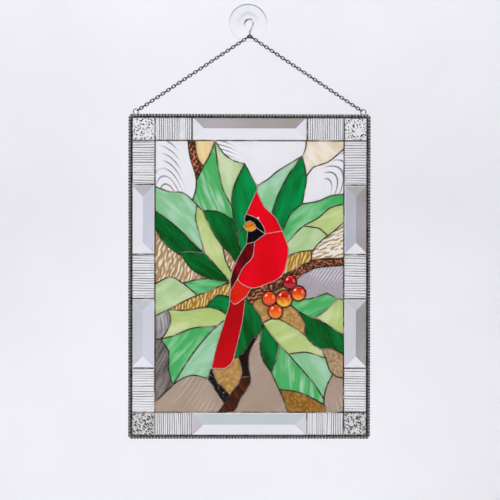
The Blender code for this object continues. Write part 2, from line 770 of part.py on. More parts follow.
def build_lattice(drawing, plates, material):
    """Run the solder: a ridge along each line on both faces, joined by a web between the pieces of glass."""
    shell = Shell()
    panes = [pane for plate in plates for pane in plate.panes]
    glazed = set().union(*(pane.cell for pane in panes))
    for side in (-1, 1):
        ridge, lip = side * RIDGE_LEVEL, side * LIP_LEVEL
        for pane in panes:
            shell.sheet(pane.outlines, ridge, pane.windows, lip)
        for number, triangle in enumerate(drawing.triangles):
            if number not in glazed:
                shell.face([shell.corner(drawing.points[index], ridge) for index in triangle])
        for plate in plates:
            windows = [window for pane in plate.panes for window in pane.windows]
            shell.sheet(plate.web, lip, windows, lip)
    for plate in plates:
        for loop in plate.web:
            shell.wall(loop, -LIP_LEVEL, LIP_LEVEL)
    everything = set(range(len(drawing.triangles)))
    for loop in drawing.outlines(everything):
        shell.wall(loop, -RIDGE_LEVEL, RIDGE_LEVEL)
    return make_object("solder_lattice", shell.finish(), PANEL_CENTRE, material)


def sweep(points, radius, sides, centre=None):
    """Return a tube along a line of points with flat ends, or a mitred ring round a centre."""
    shape = bmesh.new()
    rings = []
    count = len(points)
    closed = centre is not None
    normal = None
    for index, point in enumerate(points):
        arriving = points[index] - points[index - 1]
        leaving = points[(index + 1) % count] - point
        if not closed and index == 0:
            arriving = leaving
        if not closed and index == count - 1:
            leaving = arriving
        along = (arriving.normalized() + leaving.normalized()).normalized()
        if closed:
            normal = centre - point
        elif normal is None:
            normal = along.orthogonal()
        normal = (normal - along * normal.dot(along)).normalized()
        across = along.cross(normal)
        mitre = 1 / along.dot(leaving.normalized()) if closed else 1
        angles = [2 * math.pi * side / sides for side in range(sides)]
        rings.append([
            shape.verts.new(point + radius * (mitre * math.cos(angle) * normal + math.sin(angle) * across))
            for angle in angles
        ])
    spans = count if closed else count - 1
    for index in range(spans):
        here, there = rings[index], rings[(index + 1) % count]
        for side in range(sides):
            following = (side + 1) % sides
            shape.faces.new([here[side], here[following], there[following], there[side]])
    if not closed:
        shape.faces.new(rings[0][::-1])
        shape.faces.new(rings[-1])
    bmesh.ops.recalc_face_normals(shape, faces=shape.faces)
    return shape


def join_shapes(name, shapes, place, material):
    """Unite shapes that touch into one closed body."""
    pieces = [make_object(f"{name}_{index}", shape, place, material) for index, shape in enumerate(shapes)]
    whole = pieces[0]
    if len(pieces) > 1:
        group = bpy.data.collections.new(name)
        for piece in pieces[1:]:
            group.objects.link(piece)
        union = whole.modifiers.new("union", "BOOLEAN")
        union.operation = "UNION"
        union.operand_type = "COLLECTION"
        union.collection = group
        union.solver = "EXACT"
        graph = bpy.context.evaluated_depsgraph_get()
        mesh = bpy.data.meshes.new_from_object(whole.evaluated_get(graph))
        whole.modifiers.clear()
        whole.data = mesh
        for piece in pieces[1:]:
            bpy.data.objects.remove(piece)
        bpy.data.collections.remove(group)
    whole.name = name
    whole.data.name = name
    return whole


def loop_place(side):
    """Return the middle of a corner loop, from the panel's middle."""
    across = side * (HALF_WIDTH + RIM_CENTRE - LOOP_INSET)
    up = HALF_HEIGHT + RIM_CENTRE + RIM_WIRE / 2 + LOOP_RADIUS - LOOP_WIRE / 2
    return Vector((across, 0, up))


def build_rim(material):
    """Bend the rim wire round the panel and solder a loop at each top corner."""
    across, up = HALF_WIDTH + RIM_CENTRE, HALF_HEIGHT + RIM_CENTRE
    corners = [Vector((-across, 0, -up)), Vector((across, 0, -up)), Vector((across, 0, up)), Vector((-across, 0, up))]
    shapes = [sweep(corners, RIM_WIRE / 2, RIM_SIDES, Vector((0, 0, 0)))]
    for side in (-1, 1):
        ring = circle(Vector((0, 0)), LOOP_RADIUS, LOOP_SEGMENTS)
        centre = loop_place(side)
        points = [centre + Vector((point[0], 0, point[1])) for point in ring]
        shapes.append(sweep(points, LOOP_WIRE / 2, LOOP_SIDES, centre))
    return join_shapes("rim_wire", shapes, PANEL_CENTRE, material)


def link_outline(length):
    """Return the corners of the middle line of one link's wire, long side along X."""
    half_length = (length - LINK_WIRE) / 2
    half_width = (LINK_WIDTH - LINK_WIRE) / 2
    return [
        (half_length, -half_width), (half_length, half_width),
        (-half_length, half_width), (-half_length, -half_width),
    ]


def build_chain(name, hook_wire, loop_centre, material):
    """Hang a chain of links, each turned a quarter, from the hook's wire to a loop's upper side."""
    along = (loop_centre - hook_wire).normalized()
    level = (Vector((0, 1, 0)) - along * along[1]).normalized()
    upright = along.cross(level)
    loop_wire = loop_centre - LOOP_RADIUS * along
    seat = (HOOK_WIRE + LINK_WIRE) / 2 + CLEARANCE
    pitch = (loop_wire - hook_wire).length / LINK_COUNT
    length = pitch + 2 * LINK_WIRE - LINK_BITE
    slack = (length - LINK_WIRE) / 2 - seat
    first, last = hook_wire + slack * along, loop_wire - slack * along
    shapes = []
    for index in range(LINK_COUNT):
        middle = first.lerp(last, index / (LINK_COUNT - 1))
        flat = upright if index % 2 == 0 else level
        points = [middle + along * x + flat * y for x, y in link_outline(length)]
        shapes.append(sweep(points, LINK_WIRE / 2, LINK_SIDES, middle))
    return join_shapes(name, shapes, Vector((0, 0, 0)), material)


def build_hook(material):
    """Bend the hook: an open eye round the cup's neck, a shank, and a J that opens away from the window."""
    middle = (EYE_TOP + EYE_BOTTOM) / 2
    points = []
    for step in range(EYE_STEPS + 1):
        turn = math.radians(215 - 260 * step / EYE_STEPS)
        points.append(Vector((
            EYE_SHIFT + EYE_HALF_WIDTH * math.cos(turn),
            HOOK_PLANE,
            middle + EYE_HEIGHT / 2 * math.sin(turn),
        )))
    bend = J_BOTTOM + J_RADIUS
    points.append(Vector((HOOK_SHIFT, HOOK_PLANE, bend + 1.5 * MM)))
    for step in range(7):
        turn = math.pi * step / 6
        points.append(Vector((
            HOOK_SHIFT,
            PANEL_PLANE + J_RADIUS * math.cos(turn),
            bend - J_RADIUS * math.sin(turn),
        )))
    points.append(Vector((HOOK_SHIFT, PANEL_PLANE - J_RADIUS, J_BOTTOM + J_TIP)))
    shape = sweep(points, HOOK_WIRE / 2, HOOK_SIDES)
    return make_object("wire_hook", shape, Vector((0, 0, 0)), material)


def build_cup(material):
    """Turn the suction cup: a thin rim, a domed shoulder, a neck and a knob."""
    profile = [(CUP_RADIUS, 0.0), (CUP_RADIUS, CUP_RIM)]
    for step in range(1, 4):
        share = step / 3
        radius = CUP_RADIUS + (CUP_SHOULDER_RADIUS - CUP_RADIUS) * share
        rise = CUP_RIM + (CUP_DEPTH - CUP_RIM) * share ** 1.8
        profile.append((radius, rise))
    knob = CUP_DEPTH + NECK_LENGTH
    profile += [
        (NECK_RADIUS, CUP_DEPTH),
        (NECK_RADIUS, knob),
        (KNOB_RADIUS, knob),
        (KNOB_RADIUS, knob + KNOB_LENGTH / 2),
        (KNOB_RADIUS / 2, knob + KNOB_LENGTH),
    ]
    shape = bmesh.new()
    rings = []
    for radius, depth in profile:
        turns = [2 * math.pi * side / CUP_SIDES for side in range(CUP_SIDES)]
        rings.append([
            shape.verts.new((radius * math.cos(turn), -depth, radius * math.sin(turn))) for turn in turns
        ])
    for here, there in zip(rings, rings[1:]):
        for side in range(CUP_SIDES):
            following = (side + 1) % CUP_SIDES
            shape.faces.new([here[side], here[following], there[following], there[side]])
    shape.faces.new(rings[0])
    shape.faces.new(rings[-1])
    bmesh.ops.recalc_face_normals(shape, faces=shape.faces)
    cup = make_object("suction_cup", shape, Vector((0, 0, 0)), material)
    cup.data.shade_smooth()
    cup.data.set_sharp_from_angle(angle=math.radians(35))
    return cup


def main():
    """Build every piece of the panel."""
    clear_scene()
    drawing = Drawing()
    picture = picture_plates(drawing)
    berries = berry_plates(drawing)
    border = border_plates(drawing)
    glasses = {}
    for plate in picture + berries + border:
        if plate.colour not in glasses:
            glasses[plate.colour] = make_material(f"glass_{len(glasses)}", plate.colour, 0.15, 0.0)
    for plate in picture:
        build_plate(plate, glasses[plate.colour])
    for plate in berries:
        build_berry(plate, on_panel(BERRIES[plate.name][0]), glasses[plate.colour])
    for plate in border:
        maker = build_bevel if plate.name.startswith("bevel") else build_plate
        maker(plate, glasses[plate.colour])
    build_lattice(drawing, picture + berries + border, make_material("solder", SOLDER, 0.4, 0.9))
    dark = make_material("dark_wire", DARK_WIRE, 0.4, 0.9)
    build_rim(dark)
    for side, name in ((-1, "chain_left"), (1, "chain_right")):
        hook_wire = Vector((HOOK_SHIFT, PANEL_PLANE + side * LINK_SPACING / 2, J_BOTTOM))
        build_chain(name, hook_wire, PANEL_CENTRE + loop_place(side), dark)
    build_hook(make_material("bright_wire", BRIGHT_WIRE, 0.25, 1.0))
    build_cup(make_material("clear_plastic", CLEAR, 0.1, 0.0))


if __name__ == "__main__":
    main()
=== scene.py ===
"""The looks of a stained glass panel: textured panes, dark solder, twisted rim wire, chain, hook and cup.

Metres, +Z up, the panel faces -Y, and the origin is the middle of the suction cup's flat face.
The panes and the solder lines are drawn again, finer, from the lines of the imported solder.
"""

import json
import logging
import math
from dataclasses import dataclass, field
from enum import Enum

import bmesh
import bpy
import numpy as np
from mathutils import Matrix, Quaternion, Vector, noise
from mathutils.geometry import delaunay_2d_cdt

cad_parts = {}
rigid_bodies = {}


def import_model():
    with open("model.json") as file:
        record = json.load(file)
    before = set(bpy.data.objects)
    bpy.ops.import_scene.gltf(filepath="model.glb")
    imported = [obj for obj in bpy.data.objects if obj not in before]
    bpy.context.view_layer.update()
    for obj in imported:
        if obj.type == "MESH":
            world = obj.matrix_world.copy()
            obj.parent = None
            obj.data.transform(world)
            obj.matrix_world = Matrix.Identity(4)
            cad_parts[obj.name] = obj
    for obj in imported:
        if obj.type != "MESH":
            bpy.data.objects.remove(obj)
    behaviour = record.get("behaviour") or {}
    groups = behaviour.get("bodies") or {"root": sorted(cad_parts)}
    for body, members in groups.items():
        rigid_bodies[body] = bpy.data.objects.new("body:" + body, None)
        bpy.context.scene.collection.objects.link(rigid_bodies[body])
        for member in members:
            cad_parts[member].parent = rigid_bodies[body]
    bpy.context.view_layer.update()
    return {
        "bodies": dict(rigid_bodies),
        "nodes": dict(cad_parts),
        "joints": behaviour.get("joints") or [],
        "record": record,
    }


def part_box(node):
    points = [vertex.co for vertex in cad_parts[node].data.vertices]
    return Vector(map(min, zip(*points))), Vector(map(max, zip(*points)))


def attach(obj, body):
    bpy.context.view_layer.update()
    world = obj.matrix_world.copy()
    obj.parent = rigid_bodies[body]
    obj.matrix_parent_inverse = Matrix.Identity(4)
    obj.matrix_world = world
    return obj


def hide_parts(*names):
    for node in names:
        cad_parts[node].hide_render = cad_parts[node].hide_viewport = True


LOG = logging.getLogger("stained_glass")

MM = 0.001
BODY = "root"

# The solder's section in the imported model, and the sheet on which the picture was drawn
BEAD_HEIGHT = 1.0 * MM
GLASS_THICKNESS = 3.0 * MM
BORDER_WIDTH = 26.6 * MM
SHEET_WIDTH = 190
SHEET_HEIGHT = 271

# How far the pattern moves from one pane to the next, in the picture and in the border
PICTURE_SHIFT = 3.7
BORDER_SHIFT = 11.3

# One repeat of Blender's wave texture in a length of 1
WAVE_SCALE = math.pi / 10

# How far a pane reaches under the solder, how far apart a fine curve's points are, the turn at which a
# line has a corner, and how near two points are one
PANE_REACH = 0.75 * MM
CURVE_STEP = 1.2 * MM
CORNER_TURN = math.radians(42)
WELD = 1e-5

# The direction through the panel, from front to back
THROUGH = Vector((0, 1, 0))

Triple = tuple[float, float, float]
Colour = Triple
Point = tuple[float, float]
Key = tuple[int, int]

PACKED: dict = {}


def srgb(red: float, green: float, blue: float) -> Colour:
    """Turn a colour of 0 to 255 into linear light.

    Args:
        red, green, blue: the colour as a screen shows it.

    Returns:
        The three linear values.
    """
    values = []
    for value in (red, green, blue):
        share = value / 255
        values.append(share / 12.92 if share <= 0.04045 else ((share + 0.055) / 1.055) ** 2.4)
    return tuple(values)


class Pattern(Enum):
    """What varies the colour of a sheet of glass."""

    EVEN = "even"
    STREAKS = "streaks"
    TEXTURE = "texture"
    WISPS = "wisps"
    STRIPES = "stripes"


class Relief(Enum):
    """The rolled surface of a sheet of glass."""

    SMOOTH = "smooth"
    HAMMERED = "hammered"
    WATER = "water"
    BARK = "bark"
    CRYSTAL = "crystal"
    REEDED = "reeded"


class Wave:
    """A value of a shader network that can be added, multiplied and subtracted."""

    def __init__(self, network: "Network", socket: bpy.types.NodeSocket) -> None:
        """Keep the network and the socket that holds the value."""
        self.network = network
        self.socket = socket

    def __add__(self, other: "Wave | float") -> "Wave":
        """Return the sum."""
        return self.network.maths("ADD", self, other)

    def __sub__(self, other: "Wave | float") -> "Wave":
        """Return the difference."""
        return self.network.maths("SUBTRACT", self, other)

    def __rsub__(self, other: float) -> "Wave":
        """Return a number less the value."""
        return self.network.maths("SUBTRACT", other, self)

    def __mul__(self, other: "Wave | float") -> "Wave":
        """Return the product."""
        return self.network.maths("MULTIPLY", self, other)

    __radd__ = __add__
    __rmul__ = __mul__


class Network:
    """The node network of one material."""

    def __init__(self, name: str) -> None:
        """Start a material with a lone Principled shader.

        Args:
            name: the material's name.
        """
        self.material = bpy.data.materials.new(name)
        self.material.use_nodes = True
        self.tree = self.material.node_tree
        self.shader = self.tree.nodes["Principled BSDF"]

    def node(self, kind: str, settings: dict | None = None, inputs: dict | None = None) -> bpy.types.Node:
        """Add a node.

        Args:
            kind: the node's type without its ShaderNode prefix.
            settings: its own settings, set first.
            inputs: values or links of its sockets, by name or number.

        Returns:
            The node.
        """
        made = self.tree.nodes.new("ShaderNode" + kind)
        for key, value in (settings or {}).items():
            if key == "stops":
                self.set_stops(made, value)
            else:
                setattr(made, key, value)
        for key, value in (inputs or {}).items():
            self.feed(made.inputs[key], value)
        return made

    def set_stops(self, ramp: bpy.types.Node, stops: list) -> None:
        """Give a colour ramp its stops.

        Args:
            ramp: the ramp's node.
            stops: pairs of a place from 0 to 1 and a colour.
        """
        elements = ramp.color_ramp.elements
        while len(elements) < len(stops):
            elements.new(1.0)
        for element, (place, colour) in zip(elements, stops):
            element.position = place
            element.color = (*colour, 1.0)

    def feed(self, socket: bpy.types.NodeSocket, value: object) -> None:
        """Link a value to a socket, or set it there.

        Args:
            socket: the input.
            value: a Wave, a colour, a vector or a number.
        """
        if isinstance(value, Wave):
            self.tree.links.new(value.socket, socket)
        elif isinstance(value, tuple) and len(value) == 3 and socket.type == "RGBA":
            socket.default_value = (*value, 1.0)
        else:
            socket.default_value = value

    def maths(self, operation: str, first: "Wave | float", second: "Wave | float") -> Wave:
        """Return the outcome of one Math node."""
        made = self.node("Math", {"operation": operation}, {0: first, 1: second})
        return Wave(self, made.outputs[0])

    def place(
        self, turn: float = 0.0, stretch: "Triple | float" = 1.0, shift: Triple = (0.0, 0.0, 0.0),
        centre: Vector | None = None,
    ) -> Wave:
        """Return object coordinates, turned in the panel's plane and then stretched.

        Args:
            turn: degrees about Y.
            stretch: repeats per metre along the three axes, or one number for all three.
            shift: what is added after.
            centre: the place that becomes the middle, if not the origin.

        Returns:
            The vector.
        """
        scale = stretch if isinstance(stretch, tuple) else (stretch, stretch, stretch)
        source = self.node("TexCoord")
        rotation = Matrix.Rotation(math.radians(turn), 3, "Y")
        offset = -(rotation @ centre) if centre else Vector((0, 0, 0))
        turned = self.node(
            "Mapping", {"vector_type": "POINT"},
            {
                "Vector": Wave(self, source.outputs["Object"]),
                "Rotation": (0.0, math.radians(turn), 0.0), "Location": tuple(offset),
            },
        )
        scaled = self.node(
            "Mapping", {"vector_type": "POINT"},
            {"Vector": Wave(self, turned.outputs[0]), "Scale": scale, "Location": shift},
        )
        return Wave(self, scaled.outputs[0])

    def noise(self, place: Wave, detail: float = 2.0, distortion: float = 0.0, scale: float = 1.0) -> Wave:
        """Return a noise of about 0.25 to 0.75.

        Args:
            place: where it is read.
            detail: how many finer layers it has.
            distortion: how much it is stirred.
            scale: repeats per length of 1.

        Returns:
            The noise.
        """
        made = self.node(
            "TexNoise", None,
            {"Vector": place, "Scale": scale, "Detail": detail, "Distortion": distortion},
        )
        return Wave(self, made.outputs["Fac"])

    def ramp(self, value: Wave, stops: list) -> Wave:
        """Return the colour of a ramp at a value."""
        made = self.node("ValToRGB", {"stops": stops}, {"Fac": value})
        return Wave(self, made.outputs["Color"])

    def level(self, value: Wave, low: float, high: float) -> Wave:
        """Return 0 where a value is at its low end and 1 at its high end, smoothly between.

        Args:
            value: the value.
            low, high: its two ends.

        Returns:
            The share from 0 to 1.
        """
        made = self.node(
            "MapRange", {"interpolation_type": "SMOOTHSTEP"},
            {"Value": value, "From Min": low, "From Max": high},
        )
        return Wave(self, made.outputs["Result"])

    def blend(self, share: "Wave | float", first: "Wave | Colour", second: "Wave | Colour") -> Wave:
        """Return a mix of two colours."""
        made = self.node("Mix", {"data_type": "RGBA"}, {0: share, 6: first, 7: second})
        return Wave(self, made.outputs[2])

    def attribute(self, name: str) -> Wave:
        """Return a value stored on the mesh."""
        made = self.node("Attribute", {"attribute_name": name})
        return Wave(self, made.outputs["Fac"])

    def set(self, **values: object) -> None:
        """Set or link the Principled shader's sockets, named with underscores for spaces."""
        for key, value in values.items():
            self.feed(self.shader.inputs[key.replace("_", " ")], value)

    def bump(self, height: Wave, distance: float, strength: float = 1.0) -> None:
        """Roughen the surface by a height."""
        made = self.node("Bump", None, {"Height": height, "Distance": distance, "Strength": strength})
        self.feed(self.shader.inputs["Normal"], Wave(self, made.outputs["Normal"]))


@dataclass(frozen=True)
class GlassSheet:
    """One kind of sheet glass.

    Attributes:
        deep: the darker colour.
        pale: the lighter colour.
        pattern: what mixes the two.
        relief: the rolled surface.
        clear: share of the light that passes straight through, from 0 to 1.
        roughness: how much the surface scatters.
        width, length: size of the streaks, across and along.
        low, high: where the mix starts and ends.
        line: colour of the thin lines of a swirl or stripe.
    """

    deep: Colour
    pale: Colour
    pattern: Pattern = Pattern.STREAKS
    relief: Relief = Relief.SMOOTH
    clear: float = 0.35
    roughness: float = 0.22
    width: float = 9 * MM
    length: float = 45 * MM
    low: float = 0.38
    high: float = 0.66
    line: Colour = (0.2, 0.2, 0.2)

    def dress(self, name: str, turn: float, shift: float, centre: Vector | None = None) -> bpy.types.Material:
        """Make the material of one pane.

        Args:
            name: the material's name.
            turn: direction of the streaks, in degrees from upright.
            shift: moves the pattern, so that no two panes are alike.
            centre: the middle of its swirls, if it has any.

        Returns:
            The material.
        """
        network = Network(name)
        network.set(
            Base_Color=self.colour(network, turn, shift, centre),
            Roughness=self.roughness,
            Transmission_Weight=self.clear,
            IOR=1.3 if self.clear > 0.7 else 1.5,
            Specular_IOR_Level=0.22,
            Coat_Weight=0.06,
            Coat_Roughness=0.05,
        )
        fine = network.noise(network.place(0, 380.0, (shift, 0.0, 0.0)), 3.0)
        network.bump(fine, 0.08 * MM)
        return network.material

    def colour(self, network: Network, turn: float, shift: float, centre: Vector | None) -> Wave:
        """Return the colour over the pane.

        Args:
            network: the material's network.
            turn, shift, centre: as in dress.

        Returns:
            The colour.
        """
        if self.pattern in (Pattern.WISPS, Pattern.STRIPES):
            return self.lined(network, turn, shift, centre)
        if self.pattern is Pattern.EVEN:
            mixed = network.noise(network.place(turn, 30.0, (shift, 0.0, 0.0)), 2.0)
        elif self.pattern is Pattern.TEXTURE:
            soft = network.noise(network.place(turn, 90.0, (shift, 0.0, 0.0)), 3.0)
            mixed = network.attribute("mark") + (soft - 0.5) * 0.5
        else:
            stretch = self.stretch()
            wide = network.noise(network.place(turn, stretch, (shift, 0.0, shift)), 2.0, 0.6)
            finer = tuple(3 * value for value in stretch)
            fine = network.noise(network.place(turn, finer, (shift, 1.0, 0.0)), 3.0)
            mixed = wide * 0.75 + fine * 0.25
        return network.blend(network.level(mixed, self.low, self.high), self.deep, self.pale)

    def stretch(self) -> Triple:
        """Return the streaks per metre along the three axes."""
        return 1 / self.width, 1 / self.width, 1 / self.length

    def lined(self, network: Network, turn: float, shift: float, centre: Vector | None) -> Wave:
        """Return the colour of clear glass with thin lines, in rings or in bands.

        Args:
            network: the material's network.
            turn, shift, centre: as in dress.

        Returns:
            The colour.
        """
        kind = "RINGS" if self.pattern is Pattern.WISPS else "BANDS"
        wave = network.node(
            "TexWave",
            {"wave_type": kind, "rings_direction": "Y", "bands_direction": "X"},
            {
                "Vector": network.place(turn, self.stretch(), (0.0, 0.0, 0.0), centre),
                "Scale": WAVE_SCALE, "Distortion": 2.4, "Detail": 2.0, "Detail Scale": 0.5,
            },
        )
        lines = network.level(Wave(network, wave.outputs["Fac"]), 0.8, 0.98)
        where = network.noise(network.place(turn, (34.0, 34.0, 20.0), (shift * 2, 0.0, 0.0)), 1.0)
        share = lines * network.level(where, self.low, self.high)
        soft = network.noise(network.place(turn, (60.0, 60.0, 14.0), (shift, 0.0, 0.0)), 2.0)
        body = network.blend(network.level(soft, 0.3, 0.8) * 0.35, self.pale, self.deep)
        return network.blend(share, body, self.line)


class Glass(Enum):
    """The sheets that the panes are cut from."""

    CLEAR_SWIRL = GlassSheet(
        srgb(240, 238, 246), srgb(255, 254, 255), Pattern.WISPS, clear=0.9, roughness=0.05,
        width=4.0 * MM, length=8.5 * MM, low=0.48, high=0.68, line=srgb(138, 136, 146),
    )
    # Painted shade: the clear panes at the bottom are tinted taupe and grey for the darker ground seen
    # through them.
    CLEAR_TAUPE = GlassSheet(
        srgb(158, 135, 118), srgb(190, 169, 150), Pattern.WISPS, clear=0.8, roughness=0.08,
        width=5 * MM, length=16 * MM, low=0.48, high=0.7, line=srgb(216, 200, 184),
    )
    CLEAR_SMOKE = GlassSheet(
        srgb(116, 110, 110), srgb(196, 190, 190), Pattern.STREAKS, clear=0.8, roughness=0.08,
        width=3 * MM, length=26 * MM, low=0.36, high=0.6,
    )
    CLEAR_SMOKE_DEEP = GlassSheet(
        srgb(90, 84, 80), srgb(156, 148, 144), Pattern.STREAKS, clear=0.8, roughness=0.08,
        width=4 * MM, length=30 * MM, low=0.36, high=0.64,
    )
    CLEAR_STRIPED = GlassSheet(
        srgb(162, 154, 160), srgb(192, 184, 190), Pattern.STRIPES, clear=0.8, roughness=0.08,
        width=3.2 * MM, length=60 * MM, low=0.42, high=0.56, line=srgb(250, 248, 254),
    )
    CREAM = GlassSheet(srgb(238, 218, 186), srgb(255, 248, 234), Pattern.STREAKS, Relief.HAMMERED, clear=0.3)
    CREAM_YELLOW = GlassSheet(srgb(248, 214, 144), srgb(255, 236, 186), Pattern.STREAKS, clear=0.3)
    # Painted glints: on these water-rolled sheets the pale colour goes where the ripples slope one way.
    CREAM_RIPPLED = GlassSheet(
        srgb(192, 155, 113), srgb(255, 252, 238), Pattern.TEXTURE, Relief.WATER,
        clear=0.4, low=0.05, high=0.5,
    )
    AMBER_WATER = GlassSheet(
        srgb(190, 152, 100), srgb(255, 250, 230), Pattern.TEXTURE, Relief.WATER,
        clear=0.5, roughness=0.12, low=0.3, high=1.0,
    )
    AMBER_GOLD = GlassSheet(
        srgb(180, 132, 48), srgb(252, 226, 150), Pattern.TEXTURE, Relief.WATER,
        clear=0.45, low=0.25, high=0.95,
    )
    AMBER = GlassSheet(
        srgb(184, 138, 70), srgb(238, 202, 138), Pattern.TEXTURE, Relief.HAMMERED,
        clear=0.4, low=0.2, high=1.1,
    )
    AMBER_DEEP = GlassSheet(
        srgb(150, 100, 28), srgb(206, 160, 78), Pattern.TEXTURE, Relief.HAMMERED,
        clear=0.4, low=0.2, high=1.1,
    )
    AMBER_DULL = GlassSheet(
        srgb(168, 136, 100), srgb(228, 200, 160), Pattern.TEXTURE, Relief.HAMMERED,
        clear=0.4, low=0.2, high=1.1,
    )
    BARK = GlassSheet(
        srgb(74, 38, 28), srgb(222, 138, 88), Pattern.TEXTURE, Relief.BARK, clear=0.35, low=0.3, high=1.05,
    )
    BROWN = GlassSheet(srgb(8, 0, 0), srgb(46, 12, 2), Pattern.STREAKS, clear=0.15, width=6 * MM)
    BROWN_RED = GlassSheet(srgb(54, 18, 2), srgb(98, 48, 12), Pattern.STREAKS, clear=0.15, width=6 * MM)
    BLACK_HAMMERED = GlassSheet(
        srgb(6, 6, 6), srgb(150, 148, 142), Pattern.TEXTURE, Relief.CRYSTAL, clear=0.1, low=0.8, high=1.1,
    )
    DEEP_GREEN = GlassSheet(srgb(0, 82, 22), srgb(0, 132, 56), width=9 * MM, length=60 * MM)
    SEA_GREEN = GlassSheet(srgb(0, 122, 50), srgb(2, 160, 82), width=10 * MM, length=60 * MM)
    MID_GREEN = GlassSheet(srgb(78, 188, 106), srgb(156, 224, 166), width=10 * MM, low=0.4, high=0.7)
    STREAKY_GREEN = GlassSheet(
        srgb(84, 190, 106), srgb(196, 234, 204), width=7 * MM, length=70 * MM, low=0.48, high=0.74,
    )
    PALE_GREEN = GlassSheet(srgb(146, 210, 156), srgb(188, 230, 200), width=14 * MM)
    LIME = GlassSheet(srgb(192, 216, 130), srgb(226, 236, 178), width=14 * MM)
    PALE_LIME = GlassSheet(srgb(184, 218, 156), srgb(220, 236, 192), width=14 * MM)
    RED = GlassSheet(srgb(224, 0, 18), srgb(240, 0, 28), Pattern.EVEN, clear=0.15)
    CRIMSON = GlassSheet(srgb(180, 0, 8), srgb(202, 0, 16), Pattern.EVEN, clear=0.15)
    WINE = GlassSheet(srgb(74, 0, 4), srgb(142, 0, 16), Pattern.STREAKS, clear=0.15, width=8 * MM)
    SCARLET = GlassSheet(srgb(200, 10, 4), srgb(228, 34, 12), Pattern.EVEN, clear=0.15)
    BLACK = GlassSheet(srgb(2, 2, 3), srgb(8, 8, 9), Pattern.EVEN, clear=0.0)
    BEAK = GlassSheet(
        srgb(226, 132, 10), srgb(252, 172, 36), Pattern.STREAKS,
        clear=0.25, width=3 * MM, length=12 * MM,
    )


@dataclass(frozen=True)
class Pane:
    """One pane of the picture.

    Attributes:
        name: what it shows.
        node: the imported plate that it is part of.
        seed: a point inside it, in squares of the drawing sheet.
        glass: its sheet.
        turn: direction of the streaks, in degrees from upright.
        swirl: the middle of its swirls, in squares too.
    """

    name: str
    node: str
    seed: Point
    glass: Glass
    turn: float = 0.0
    swirl: Point | None = None


